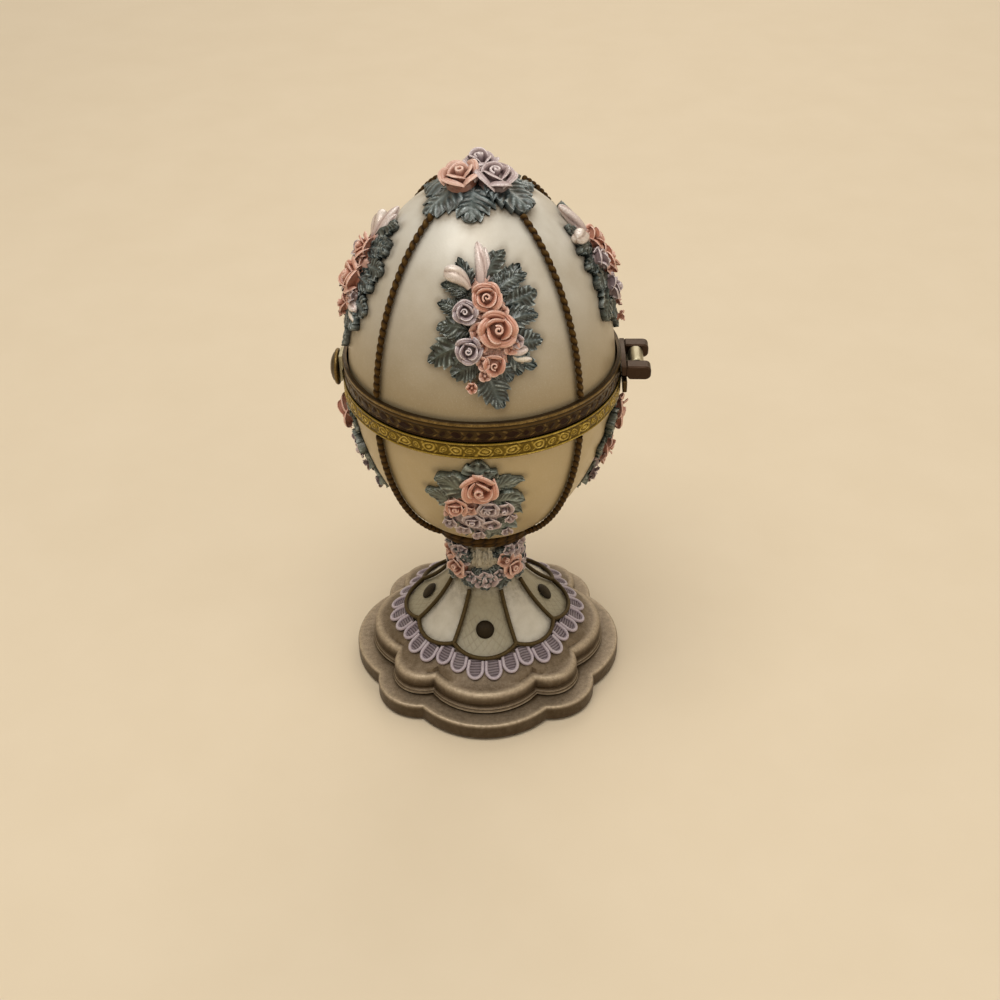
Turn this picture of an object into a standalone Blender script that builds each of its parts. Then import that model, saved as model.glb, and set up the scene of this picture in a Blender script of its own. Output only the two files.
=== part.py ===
"""Egg-shaped jewellery box on a lobed foot, with a lid hinged at the side.

Front of the egg faces -Y, the thumb knob is at -X and the hinge at +X.
Sizes are in metres, +Z is up and the felt under the foot stands on z = 0.
"""
import bmesh
import bpy
from math import asin, atan2, cos, pi, radians, sin, sqrt
from mathutils import Matrix, Vector

MM = 0.001

# Clearances
SEAT = 0.3 * MM
LIP_GAP = 0.5 * MM
HINGE_SIDE_GAP = 0.4 * MM

# Egg shells: two half ellipsoids that meet at the seam
EGG_R = 33.8 * MM
LID_RISE = 50.4 * MM
BOWL_DROP = 49.2 * MM
WALL = 3.0 * MM
BOWL_FLOOR = 3.2 * MM
LINING_T = 0.8 * MM
BOWL_FOOT_R = 13.2 * MM
FOOT_LEDGE = 0.9 * MM
SPIGOT_R = 5.5 * MM
SPIGOT_L = 7.0 * MM

# Rim rings, formed from brass strip
RING_T = 0.9 * MM
BOWL_RING_PROUD = 0.3 * MM
FLANGE_T = 0.8 * MM
LID_BAND_H = 5.3 * MM
BOWL_BAND_H = 4.3 * MM
BEAD_PROUD = 0.2 * MM
BEAD_H = 1.1 * MM
LIP_T = 0.8 * MM
LIP_H = 1.0 * MM

# Hinge: two ears on the lid's leaf, one barrel on the bowl's leaf
HINGE_OUT = 4.0 * MM
HINGE_UP = 2.4 * MM
HINGE_HALF_W = 7.2 * MM
EAR_T = 3.5 * MM
EAR_OUT = 3.4 * MM
EAR_IN = 2.4 * MM
EAR_HALF_H = 1.9 * MM
EAR_ROUND = 0.9 * MM
NECK_T = 1.1 * MM
BARREL_R = 1.9 * MM
PIN_R = 0.75 * MM
STRIP_OUT = 1.3 * MM
LEAF_BACK = 1.5 * MM
LEAF_H = 3.2 * MM
TONGUE_WEB = 45

# Latch
KNOB_R = 4.7 * MM
KNOB_T = 2.3 * MM
KNOB_DROP = 0.1 * MM
TONGUE_T = 0.55 * MM
TONGUE_HALF_W = 2.4 * MM
TONGUE_H = 7.2 * MM
FORK_HALF_W = 1.3 * MM
FORK_H = 2.6 * MM
CATCH_R = 0.8 * MM

# Foot
FELT_T = 1.0 * MM
FELT_SHOWS = 0.4 * MM
FELT_INSET = 4.0 * MM
PLATE_R = 38.1 * MM
PLATE_NOTCH_R = 35.0 * MM
PLATE_H = 5.0 * MM
PLATE_EDGE = 0.5 * MM
TIER_R = 32.9 * MM
TIER_NOTCH_R = 29.0 * MM
TIER_H = 6.0 * MM
TIER_BEAD_H = 1.8 * MM
TIER_BEAD_OUT = 0.5 * MM
TIER_SHOULDER = 2.0 * MM
WIDE_LOBE_HALF = radians(29.5)
CONE_R = 28.7 * MM
CONE_TOP_R = 12.0 * MM
CONE_SLOPE = 0.6
CELL_R = 23.3 * MM
PETAL_R = 22.5 * MM
CELL_NOTCH_R = 20.6 * MM
CELL_HALF = radians(24.5)
CELL_EDGE_T = 0.4 * MM
FLARE_RADIUS = 35.3 * MM
NECK_R = 9.3 * MM
NECK_Z_ABOVE_TIER = 18.9 * MM
NECK_COVE = 31.0 * MM
NECK_L = 20.3 * MM
TRACERY_R = 0.7 * MM
STUD_R = 2.55 * MM
STUD_T = 1.0 * MM
STUD_AT_SHARE = 0.7
LACE_LOOPS = 32
LACE_REACH = 5.1 * MM
LACE_DIP = 2.2 * MM
LACE_T = 0.9 * MM

# Cords
STRAND_R = 0.65 * MM
RIB_R = 0.75 * MM
STRAND_TOP_R = 14.2 * MM
CORD_RING_R = 1.1 * MM
CORD_RING_OUT = 0.6
STRAND_AZIMUTHS = {"front_right": 45, "back_right": 135, "back_left": 225, "front_left": 315}

# Cast leaves: heights above the egg, and places as shares of each leaf's length
LEAF_HALF_W = 3.4 * MM
LEAF_RIB_H = 1.9 * MM
LEAF_EDGE_H = 0.9 * MM
LEAF_BACK_H = 0.5 * MM
NOTCH_SHARE = 0.62
RIB_SHARE = 0.55
SHOULDER_SHARE = 0.74
SHOULDER_FILL = 0.8

# Cast flowers: a rose's whorls are shares of its width and height
ROSE_BASE_H = 0.8 * MM
BUD_LIFT = 1.5 * MM
ROSE_ROWS = ((0.8, 0.0), (1.0, 0.6), (0.62, 0.5), (0.46, 1.0))
PETAL_WAVE = 0.08

# Crown of the lid
CROWN_LEAVES = 7
CROWN_TIP_R = 14.6 * MM
CROWN_SHOULDER_R = 12.2 * MM
CROWN_NOTCH_R = 9.4 * MM
CROWN_HUB_R = 7.5 * MM
CROWN_HUB_H = 1.0 * MM
CROWN_TURN = radians(-3)
CROWN_LEAN = 26.0 * MM
CROWN_ROSES = ((-3.4, -3.0, 4.1, 5.0), (3.4, -3.0, 4.1, 4.8), (0.1, 2.7, 3.8, 5.6))

# Garland round the neck
GARLAND_UNITS = 8
GARLAND_ABOVE_FLARE = 1.0 * MM
GARLAND_H = 10.0 * MM
GARLAND_T = 2.0 * MM
GARLAND_BIG = (0.58, 3.1 * MM, 2.9 * MM, 4)
GARLAND_SMALL = (0.34, 2.1 * MM, 2.3 * MM, 3)

# Facets
SHELL_SEGS = 32
SHELL_ROWS = 8
INNER_ROWS = 4
SIDES = {"front": 0, "right": 90, "back": 180, "left": 270}

# Levels and radii that follow from the sizes above
PLATE_Z = FELT_SHOWS
TIER_Z = PLATE_Z + PLATE_H + SEAT
TIER_TOP = TIER_Z + TIER_H
NECK_Z = TIER_TOP + NECK_Z_ABOVE_TIER
NECK_TOP = NECK_Z + NECK_L
NECK_TOP_R = BOWL_FOOT_R - FOOT_LEDGE
BOWL_FOOT_Z = NECK_TOP + SEAT
SEAM_Z = BOWL_FOOT_Z + BOWL_DROP * sqrt(1 - (BOWL_FOOT_R / EGG_R) ** 2)
LID_SEAM_Z = SEAM_Z + SEAT
BAND_IN_R = EGG_R + SEAT
LID_BAND_R = BAND_IN_R + RING_T
BOWL_BAND_R = LID_BAND_R + BOWL_RING_PROUD
SHELL_IN_R = EGG_R - WALL
LIP_IN_R = SHELL_IN_R + SEAT
LIP_OUT_R = LIP_IN_R + LIP_T
LID_FLANGE_IN_R = LIP_OUT_R + LIP_GAP
LID_RIM_Z = LID_SEAM_Z + FLANGE_T + SEAT
BOWL_RIM_Z = SEAM_Z - FLANGE_T - SEAT
LID_BAND_TOP = LID_SEAM_Z + LID_BAND_H
BOWL_BAND_LOW = SEAM_Z - BOWL_BAND_H
HINGE = Vector((LID_BAND_R + HINGE_OUT, 0, SEAM_Z + HINGE_UP))
CROWN_Z = SEAM_Z + LID_RISE + CROWN_HUB_H


# Materials

def make_material(name, color, roughness, metallic=0.0):
    mat = bpy.data.materials.new(name)
    mat.use_nodes = True
    shader = mat.node_tree.nodes["Principled BSDF"]
    shader.inputs["Base Color"].default_value = (*color, 1)
    shader.inputs["Roughness"].default_value = roughness
    shader.inputs["Metallic"].default_value = metallic
    mat.diffuse_color = (*color, 1)
    return mat


def make_materials():
    return {
        "pearl": make_material("pearl_enamel", (0.80, 0.74, 0.62), 0.35),
        "cream": make_material("cream_enamel", (0.72, 0.65, 0.50), 0.5),
        "bronze": make_material("antique_bronze", (0.16, 0.09, 0.035), 0.45, 0.6),
        "pewter": make_material("champagne_paint", (0.42, 0.31, 0.22), 0.4, 0.5),
        "gold": make_material("yellow_brass", (0.72, 0.55, 0.16), 0.3, 1.0),
        "ring_bronze": make_material("brown_brass", (0.30, 0.18, 0.08), 0.38, 0.9),
        "dark_brass": make_material("dark_brass", (0.12, 0.08, 0.05), 0.4, 0.9),
        "steel": make_material("pin_steel", (0.55, 0.53, 0.46), 0.3, 1.0),
        "flowers": make_material("painted_flowers", (0.68, 0.36, 0.33), 0.55),
        "leaves": make_material("painted_leaves", (0.17, 0.26, 0.28), 0.6),
        "lace": make_material("lilac_lace", (0.50, 0.40, 0.47), 0.55),
        "lining": make_material("flocked_lining", (0.45, 0.10, 0.16), 0.95),
        "felt": make_material("felt_pad", (0.06, 0.09, 0.07), 0.95),
    }


# Mesh tools

def to_object(name, bm):
    """Close, orient and shade a bmesh, and link it as an object in world space."""
    bmesh.ops.remove_doubles(bm, verts=bm.verts, dist=1e-7)
    bmesh.ops.recalc_face_normals(bm, faces=bm.faces)
    mesh = bpy.data.meshes.new(name)
    bm.to_mesh(mesh)
    bm.free()
    obj = bpy.data.objects.new(name, mesh)
    bpy.context.collection.objects.link(obj)
    return obj


def finish(obj, mat, parent=None, turn=0.0, smooth_angle=40):
    """Give an object its material, its smooth shading and its place on a body."""
    obj.data.materials.clear()
    obj.data.materials.append(mat)
    obj.data.shade_smooth()
    obj.data.set_sharp_from_angle(angle=radians(smooth_angle))
    obj.rotation_euler.z = radians(turn)
    if parent:
        obj.parent = parent
        obj.location = -parent.location
    return obj


def lathe(name, profile, segs, closed=False):
    """Spin (radius, height) points about Z; a closed profile joins its last point to its first."""
    bm = bmesh.new()
    verts = [bm.verts.new((r, 0, z)) for r, z in profile]
    pairs = list(zip(verts, verts[1:]))
    if closed:
        pairs.append((verts[-1], verts[0]))
    edges = [bm.edges.new(pair) for pair in pairs if pair[0].co.x > 0 or pair[1].co.x > 0]
    bmesh.ops.spin(
        bm, geom=verts + edges, axis=(0, 0, 1), cent=(0, 0, 0), dvec=(0, 0, 0),
        angle=2 * pi, steps=segs, use_merge=True, use_duplicate=False)
    return to_object(name, bm)


def loft(name, rings, closed=False):
    """Skin rings of equal count; open ends are capped, a closed loft makes a ring."""
    bm = bmesh.new()
    rows = [[bm.verts.new(p) for p in ring] for ring in rings]
    pairs = list(zip(rows, rows[1:]))
    if closed:
        pairs.append((rows[-1], rows[0]))
    for low, high in pairs:
        for i in range(len(low)):
            j = (i + 1) % len(low)
            bm.faces.new((low[i], low[j], high[j], high[i]))
    if not closed:
        bm.faces.new(rows[0])
        bm.faces.new(rows[-1])
    return to_object(name, bm)


def extrude_outline(name, outline, y_low, y_high):
    """Extrude an outline in the XZ plane along Y."""
    bm = bmesh.new()
    verts = [bm.verts.new((x, y_low, z)) for x, z in outline]
    face = bm.faces.new(verts)
    grown = bmesh.ops.extrude_face_region(bm, geom=[face])
    moved = [v for v in grown["geom"] if isinstance(v, bmesh.types.BMVert)]
    bmesh.ops.translate(bm, verts=moved, vec=(0, y_high - y_low, 0))
    return to_object(name, bm)


def tube(name, points, radii, sides, closed=False):
    """Sweep a polygon along points, with a radius for each point."""
    rings = []
    count = len(points)
    for i, point in enumerate(points):
        ahead = points[(i + 1) % count] if closed or i < count - 1 else point
        behind = points[i - 1] if closed or i > 0 else point
        along = (ahead - behind).normalized()
        out = Vector((point.x, point.y, 0)).normalized()
        side = along.cross(out).normalized()
        up = side.cross(along)
        angles = [2 * pi * (k + 0.5) / sides for k in range(sides)]
        rings.append([point + radii[i] * (cos(a) * up + sin(a) * side) for a in angles])
    return loft(name, rings, closed)


def bake(obj):
    """Replace an object's mesh by what its modifiers make of it."""
    bpy.context.view_layer.update()
    graph = bpy.context.evaluated_depsgraph_get()
    mesh = bpy.data.meshes.new_from_object(obj.evaluated_get(graph))
    obj.modifiers.clear()
    obj.data = mesh


def combine(target, tool, operation):
    """Join or cut the target with a tool, which is then removed."""
    mod = target.modifiers.new("combine", "BOOLEAN")
    mod.operation = operation
    mod.use_self = True
    mod.object = tool
    bake(target)
    bpy.data.objects.remove(tool)
    return target


# Outlines

def circle_point(radius, azimuth, z):
    """Point at an azimuth counted from the front (-Y) towards +X."""
    return Vector((radius * sin(azimuth), -radius * cos(azimuth), z))


def lobe_radius(azimuth, outer, notch, half):
    """Radius of a lobed outline: arcs that meet in notches at +-half about each quarter."""
    turn = azimuth % (pi / 2)
    if turn > pi / 4:
        turn = pi / 2 - turn
    if turn <= half:
        half_lobe = half
        off = turn
    else:
        half_lobe = pi / 4 - half
        off = pi / 4 - turn
    chord = notch * sin(half_lobe)
    rise = outer - notch * cos(half_lobe)
    arc = (chord ** 2 + rise ** 2) / (2 * rise)
    centre = outer - arc
    return centre * cos(off) + sqrt(arc ** 2 - (centre * sin(off)) ** 2)


def lobed_azimuths(half, wide_steps, narrow_steps):
    """Azimuths round the outline, with one at every notch."""
    turns = []
    for quarter in range(4):
        base = quarter * pi / 2
        turns += [base - half + 2 * half * k / wide_steps for k in range(wide_steps)]
        narrow = pi / 2 - 2 * half
        turns += [base + half + narrow * k / narrow_steps for k in range(narrow_steps)]
    return turns


def cell_radius(azimuth):
    """Scalloped edge of the foot: four wide cells and four petals between them."""
    turn = azimuth % (pi / 2)
    outer = CELL_R if min(turn, pi / 2 - turn) <= CELL_HALF else PETAL_R
    return lobe_radius(azimuth, outer, CELL_NOTCH_R, CELL_HALF)


def cone_z(radius):
    """Height of the tier's conical top at a radius."""
    return TIER_TOP + 0.5 * MM + (CONE_R - radius) * CONE_SLOPE


CELL_EDGE_Z = cone_z(CELL_R) + SEAT + CELL_EDGE_T


def flare_z(radius):
    """Height of the foot's flared surface at a radius, on its arc."""
    half_r = (CELL_R - NECK_R) / 2
    half_z = (NECK_Z - CELL_EDGE_Z) / 2
    half = sqrt(half_r ** 2 + half_z ** 2)
    away = sqrt(FLARE_RADIUS ** 2 - half ** 2)
    centre_r = (CELL_R + NECK_R) / 2 + away * half_z / half
    centre_z = (CELL_EDGE_Z + NECK_Z) / 2 + away * half_r / half
    return centre_z - sqrt(FLARE_RADIUS ** 2 - (radius - centre_r) ** 2)


def flare_point(radius, azimuth, lift):
    """Point above the flared surface, along the surface's normal."""
    step = 0.1 * MM
    slope = (flare_z(radius + step) - flare_z(radius - step)) / (2 * step)
    length = sqrt(1 + slope ** 2)
    return circle_point(radius - lift * slope / length, azimuth, flare_z(radius) + lift / length)


def corner(x, z, radius, start, steps=2):
    """Quarter arc of an outline in XZ, from a start angle in degrees."""
    angles = [radians(start + 90 * k / steps) for k in range(steps + 1)]
    return [(x + radius * cos(a), z + radius * sin(a)) for a in angles]


# Egg shells, linings and rings

def ellipse_points(radius, rise, z_from, z_to, steps):
    """Points on a half ellipse about the seam, from one height to another."""
    first, last = (asin(max(-1, min(1, (z - SEAM_Z) / rise))) for z in (z_from, z_to))
    angles = [first + (last - first) * k / steps for k in range(steps + 1)]
    points = [(radius * cos(a), SEAM_Z + rise * sin(a)) for a in angles]
    return [(0.0 if r < 1e-6 else r, z) for r, z in points]


def make_lid_shell(mats, pivot):
    outer = ellipse_points(EGG_R, LID_RISE, LID_RIM_Z, SEAM_Z + LID_RISE, SHELL_ROWS)
    rise = LID_RISE - WALL
    inner = ellipse_points(SHELL_IN_R, rise, SEAM_Z + rise, LID_RIM_Z, INNER_ROWS)
    shell = lathe("lid_shell", outer + inner, SHELL_SEGS, closed=True)
    finish(shell, mats["pearl"], pivot)


def make_lid_lining(mats, pivot):
    out_r = SHELL_IN_R - SEAT
    out_rise = LID_RISE - WALL - SEAT
    outer = ellipse_points(out_r, out_rise, LID_RIM_Z, SEAM_Z + out_rise, INNER_ROWS)
    in_rise = out_rise - LINING_T
    inner = ellipse_points(out_r - LINING_T, in_rise, SEAM_Z + in_rise, LID_RIM_Z, INNER_ROWS)
    lining = lathe("lid_lining", outer + inner, SHELL_SEGS, closed=True)
    finish(lining, mats["lining"], pivot)


def bowl_inner_drop():
    return SEAM_Z - BOWL_FOOT_Z - BOWL_FLOOR


def make_bowl_shell(mats):
    drop = bowl_inner_drop()
    outer = ellipse_points(EGG_R, BOWL_DROP, BOWL_FOOT_Z, BOWL_RIM_Z, SHELL_ROWS)
    inner = ellipse_points(SHELL_IN_R, drop, BOWL_RIM_Z, SEAM_Z - drop, INNER_ROWS)
    spigot = [(0.0, BOWL_FOOT_Z - SPIGOT_L), (SPIGOT_R, BOWL_FOOT_Z - SPIGOT_L), (SPIGOT_R, BOWL_FOOT_Z)]
    shell = lathe("bowl_shell", spigot + outer + inner, SHELL_SEGS)
    finish(shell, mats["pearl"])


def make_bowl_lining(mats):
    out_r = SHELL_IN_R - SEAT
    out_drop = bowl_inner_drop() - SEAT
    in_drop = out_drop - LINING_T
    outer = ellipse_points(out_r, out_drop, SEAM_Z - out_drop, BOWL_RIM_Z, INNER_ROWS)
    inner = ellipse_points(out_r - LINING_T, in_drop, BOWL_RIM_Z, SEAM_Z - in_drop, INNER_ROWS)
    lining = lathe("bowl_lining", outer + inner, SHELL_SEGS, closed=True)
    finish(lining, mats["lining"])


def make_lid_ring(mats, pivot):
    bead_low = LID_BAND_TOP - BEAD_H
    bead_r = LID_BAND_R + BEAD_PROUD
    flange_top = LID_SEAM_Z + FLANGE_T
    profile = [
        (LID_FLANGE_IN_R, LID_SEAM_Z), (LID_BAND_R, LID_SEAM_Z), (LID_BAND_R, bead_low),
        (bead_r, bead_low + BEAD_H / 4), (bead_r, LID_BAND_TOP - BEAD_H / 4), (LID_BAND_R, LID_BAND_TOP),
        (BAND_IN_R, LID_BAND_TOP), (BAND_IN_R, flange_top), (LID_FLANGE_IN_R, flange_top)]
    ring = lathe("lid_rim_ring", profile, SHELL_SEGS, closed=True)
    finish(ring, mats["ring_bronze"], pivot)


def make_bowl_ring(mats):
    lip_top = SEAM_Z + LIP_H
    flange_low = SEAM_Z - FLANGE_T
    roll = BEAD_H / 2
    profile = [
        (LIP_IN_R, flange_low), (BAND_IN_R, flange_low), (BAND_IN_R, BOWL_BAND_LOW),
        (BOWL_BAND_R - roll / 2, BOWL_BAND_LOW), (BOWL_BAND_R, BOWL_BAND_LOW + roll),
        (BOWL_BAND_R, SEAM_Z), (LIP_OUT_R, SEAM_Z), (LIP_OUT_R, lip_top), (LIP_IN_R, lip_top)]
    ring = lathe("bowl_rim_ring", profile, SHELL_SEGS, closed=True)
    finish(ring, mats["gold"])


# Hinge and latch

def make_pin(name, length, radius, segs, mat, parent=None):
    """Round bar on the hinge's axis, centred on the egg's middle plane."""
    bm = bmesh.new()
    turn = Matrix.Translation(HINGE) @ Matrix.Rotation(pi / 2, 4, "X")
    bmesh.ops.create_cone(
        bm, cap_ends=True, segments=segs, radius1=radius, radius2=radius, depth=length, matrix=turn)
    pin = to_object(name, bm)
    return finish(pin, mat, parent) if mat else pin


def saddle_cutter(radius, z_low, z_high):
    """Round bar about Z that shapes a leaf's back to the ring it is soldered to."""
    profile = [(0.0, z_low), (radius, z_low), (radius, z_high), (0.0, z_high)]
    return lathe("saddle_cutter", profile, SHELL_SEGS)


def box_object(name, low, high):
    outline = [(low[0], low[2]), (high[0], low[2]), (high[0], high[2]), (low[0], high[2])]
    return extrude_outline(name, outline, low[1], high[1])


def make_lid_leaf(mats, pivot):
    """Strip soldered to the lid's ring, with an ear at each end."""
    left, right = HINGE.x - EAR_IN, HINGE.x + EAR_OUT
    low, top = HINGE.z - EAR_HALF_H, HINGE.z + EAR_HALF_H
    back = LID_BAND_R - LEAF_BACK
    outline = [(back, top - NECK_T), (left, top - NECK_T)]
    outline += corner(left + EAR_ROUND, low + EAR_ROUND, EAR_ROUND, 180)
    outline += corner(right - EAR_ROUND, low + EAR_ROUND, EAR_ROUND, 270)
    outline += corner(right - EAR_ROUND, top - EAR_ROUND, EAR_ROUND, 0)
    outline.append((back, top))
    leaf = extrude_outline("hinge_lid_leaf", outline, -HINGE_HALF_W, HINGE_HALF_W)
    opening_half = HINGE_HALF_W - EAR_T
    reach = 3 * EAR_HALF_H
    middle = box_object(
        "middle", (LID_BAND_R + STRIP_OUT, -opening_half, HINGE.z - reach),
        (HINGE.x + reach, opening_half, HINGE.z + reach))
    combine(leaf, middle, "DIFFERENCE")
    combine(leaf, saddle_cutter(LID_BAND_R + SEAT, low - reach, top + reach), "DIFFERENCE")
    combine(leaf, make_pin("bore", 3 * HINGE_HALF_W, PIN_R + SEAT, 12, None), "DIFFERENCE")
    finish(leaf, mats["dark_brass"], pivot)


def make_bowl_leaf(mats):
    """Plate soldered to the bowl's ring, with a tongue rolled up into the barrel."""
    top = HINGE.z - EAR_HALF_H - 2 * SEAT
    low = top - LEAF_H
    back = BOWL_BAND_R - LEAF_BACK
    face = LID_BAND_R + STRIP_OUT + SEAT
    leaf = box_object("hinge_bowl_leaf", (back, -HINGE_HALF_W, low), (face, HINGE_HALF_W, top))
    knuckle_half = HINGE_HALF_W - EAR_T - HINGE_SIDE_GAP
    tongue_back = LID_BAND_R + 2 * SEAT
    web = radians(TONGUE_WEB)
    outline = [(tongue_back, low + LEAF_H / 3), (HINGE.x - BARREL_R * cos(web), low + LEAF_H / 3)]
    steps = 10
    for k in range(steps + 1):
        a = pi + web + (2 * pi - web) * k / steps
        outline.append((HINGE.x + BARREL_R * cos(a), HINGE.z + BARREL_R * sin(a)))
    outline.append((tongue_back, HINGE.z))
    knuckle = extrude_outline("knuckle", outline, -knuckle_half, knuckle_half)
    combine(leaf, knuckle, "UNION")
    combine(leaf, saddle_cutter(BOWL_BAND_R + SEAT, low - LEAF_H, top + SEAT), "DIFFERENCE")
    combine(leaf, make_pin("bore", 3 * HINGE_HALF_W, PIN_R + SEAT, 12, None), "DIFFERENCE")
    finish(leaf, mats["steel"])


def make_hinge(mats, pivot):
    make_lid_leaf(mats, pivot)
    make_bowl_leaf(mats)
    make_pin("hinge_pin", 2 * HINGE_HALF_W, PIN_R, 12, mats["steel"], pivot)


def make_latch(mats, pivot):
    """Forked tongue and thumb knob on the lid, and the catch that the fork straddles."""
    face = -(BOWL_BAND_R + SEAT + TONGUE_T)
    lid_back = -(LID_BAND_R + SEAT)
    bowl_back = -(BOWL_BAND_R + SEAT)
    top = LID_BAND_TOP - BEAD_H - SEAT
    low = top - TONGUE_H
    outline = [(face, low), (bowl_back, low), (bowl_back, SEAM_Z), (lid_back, LID_SEAM_Z + SEAT),
               (lid_back, top), (face, top)]
    tongue = extrude_outline("latch_tongue", outline, -TONGUE_HALF_W, TONGUE_HALF_W)
    fork = box_object(
        "fork", (face - 1 * MM, -FORK_HALF_W, low - 1 * MM),
        (bowl_back + 1 * MM, FORK_HALF_W, low + FORK_H))
    combine(tongue, fork, "DIFFERENCE")
    finish(tongue, mats["dark_brass"], pivot)

    knob_z = SEAM_Z - KNOB_DROP
    back = face - SEAT
    profile = [(0.0, 0.0), (KNOB_R * 0.9, 0.0), (KNOB_R, KNOB_T * 0.18), (KNOB_R, KNOB_T * 0.34),
               (KNOB_R * 0.86, KNOB_T * 0.66), (KNOB_R * 0.5, KNOB_T * 0.93), (0.0, KNOB_T)]
    knob = lathe("latch_knob", profile, 16)
    knob.data.transform(Matrix.Translation((back, 0, knob_z)) @ Matrix.Rotation(-pi / 2, 4, "Y"))
    finish(knob, mats["ring_bronze"], pivot)

    catch = lathe("latch_catch", [(0.0, 0.0), (CATCH_R, 0.0), (CATCH_R, TONGUE_T), (0.0, TONGUE_T)], 10)
    catch_z = low + FORK_H / 2
    catch.data.transform(Matrix.Translation((bowl_back, 0, catch_z)) @ Matrix.Rotation(-pi / 2, 4, "Y"))
    finish(catch, mats["gold"])


# Foot

def make_felt(mats):
    turns = lobed_azimuths(WIDE_LOBE_HALF, 6, 3)
    rings = []
    for z in (0.0, FELT_T - SEAT):
        rings.append([circle_point(lobe_radius(a, PLATE_R, PLATE_NOTCH_R, WIDE_LOBE_HALF) - FELT_INSET,
                                   a, z) for a in turns])
    finish(loft("base_felt", rings), mats["felt"])


def make_plate(mats):
    """Lobed bottom plate with a recess below for the felt."""
    turns = lobed_azimuths(WIDE_LOBE_HALF, 6, 3)
    top = PLATE_Z + PLATE_H
    recess = FELT_INSET - 2 * SEAT
    rows = [(recess, FELT_T), (recess, PLATE_Z), (PLATE_EDGE / 2, PLATE_Z), (0.0, PLATE_Z + PLATE_EDGE),
            (0.0, top - PLATE_EDGE), (PLATE_EDGE, top)]
    rings = []
    for inset, z in rows:
        rings.append([circle_point(lobe_radius(a, PLATE_R, PLATE_NOTCH_R, WIDE_LOBE_HALF) - inset,
                                   a, z) for a in turns])
    finish(loft("plinth_plate", rings), mats["pewter"])


def make_tier(mats):
    """Second tier: a bead at its foot, a rounded slab and a conical top under the stem."""
    turns = lobed_azimuths(WIDE_LOBE_HALF, 6, 3)
    bead_top = TIER_Z + TIER_BEAD_H
    rows = [
        (0.3 * MM, TIER_Z), (-TIER_BEAD_OUT, TIER_Z + TIER_BEAD_H * 0.35),
        (-TIER_BEAD_OUT, TIER_Z + TIER_BEAD_H * 0.65), (0.6 * MM, bead_top),
        (0.0, TIER_TOP - TIER_SHOULDER),
        (TIER_SHOULDER * 0.3, TIER_TOP - TIER_SHOULDER * 0.35), (TIER_SHOULDER, TIER_TOP)]
    rings = []
    for inset, z in rows:
        rings.append([circle_point(lobe_radius(a, TIER_R, TIER_NOTCH_R, WIDE_LOBE_HALF) - inset,
                                   a, z) for a in turns])
    base = []
    for a in turns:
        radius = min(CONE_R, lobe_radius(a, TIER_R, TIER_NOTCH_R, WIDE_LOBE_HALF) - 1.2 * TIER_SHOULDER)
        base.append(circle_point(radius, a, cone_z(radius)))
    rings.append(base)
    rings.append([circle_point(CONE_TOP_R, a, cone_z(CONE_TOP_R)) for a in turns])
    finish(loft("plinth_tier", rings), mats["pewter"])


def neck_radius(z):
    """Radius of the neck's cove at a height, on its arc."""
    half_r = (NECK_TOP_R - NECK_R) / 2
    half_z = NECK_L / 2
    half = sqrt(half_r ** 2 + half_z ** 2)
    away = sqrt(NECK_COVE ** 2 - half ** 2)
    centre_r = (NECK_TOP_R + NECK_R) / 2 + away * half_z / half
    centre_z = NECK_Z + half_z - away * half_r / half
    return centre_r - sqrt(NECK_COVE ** 2 - (z - centre_z) ** 2)


def make_stem(mats):
    """Flared foot with a scalloped edge, its neck and the socket for the bowl's spigot."""
    turns = lobed_azimuths(CELL_HALF, 5, 4)
    rings = [[circle_point(CONE_TOP_R + SEAT, a, cone_z(CONE_TOP_R) + SEAT) for a in turns]]
    rings.append([circle_point(cell_radius(a), a, cone_z(cell_radius(a)) + SEAT) for a in turns])
    flare_steps = 4
    for k in range(flare_steps + 1):
        share = k / flare_steps
        ring = []
        for a in turns:
            radius = cell_radius(a) + (NECK_R - cell_radius(a)) * share
            ring.append(circle_point(radius, a, flare_z(radius)))
        rings.append(ring)
    neck_steps = 3
    for k in range(1, neck_steps + 1):
        z = NECK_Z + NECK_L * k / neck_steps
        rings.append([circle_point(neck_radius(z), a, z) for a in turns])
    socket_r = SPIGOT_R + SEAT
    socket_low = BOWL_FOOT_Z - SPIGOT_L - SEAT
    rings.append([circle_point(socket_r, a, NECK_TOP) for a in turns])
    rings.append([circle_point(socket_r, a, socket_low) for a in turns])
    finish(loft("foot_stem", rings), mats["cream"])


def make_tracery(mats):
    """Raised cord round the scalloped edge, with a ridge up each side of every cell."""
    lift = SEAT + TRACERY_R
    turns = lobed_azimuths(CELL_HALF, 5, 4)
    edge = [flare_point(cell_radius(a) - 0.3 * MM, a, lift) for a in turns]
    net = tube("foot_tracery", edge, [TRACERY_R] * len(edge), 3, closed=True)
    low_r = CELL_NOTCH_R - 0.3 * MM
    top_r = NECK_R + 0.6 * MM
    steps = 3
    for quarter in range(4):
        for side in (-1, 1):
            a = quarter * pi / 2 + side * CELL_HALF
            path = [flare_point(low_r + (top_r - low_r) * k / steps, a, lift) for k in range(steps + 1)]
            combine(net, tube("ridge", path, [TRACERY_R] * len(path), 3), "UNION")
    finish(net, mats["bronze"])


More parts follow.
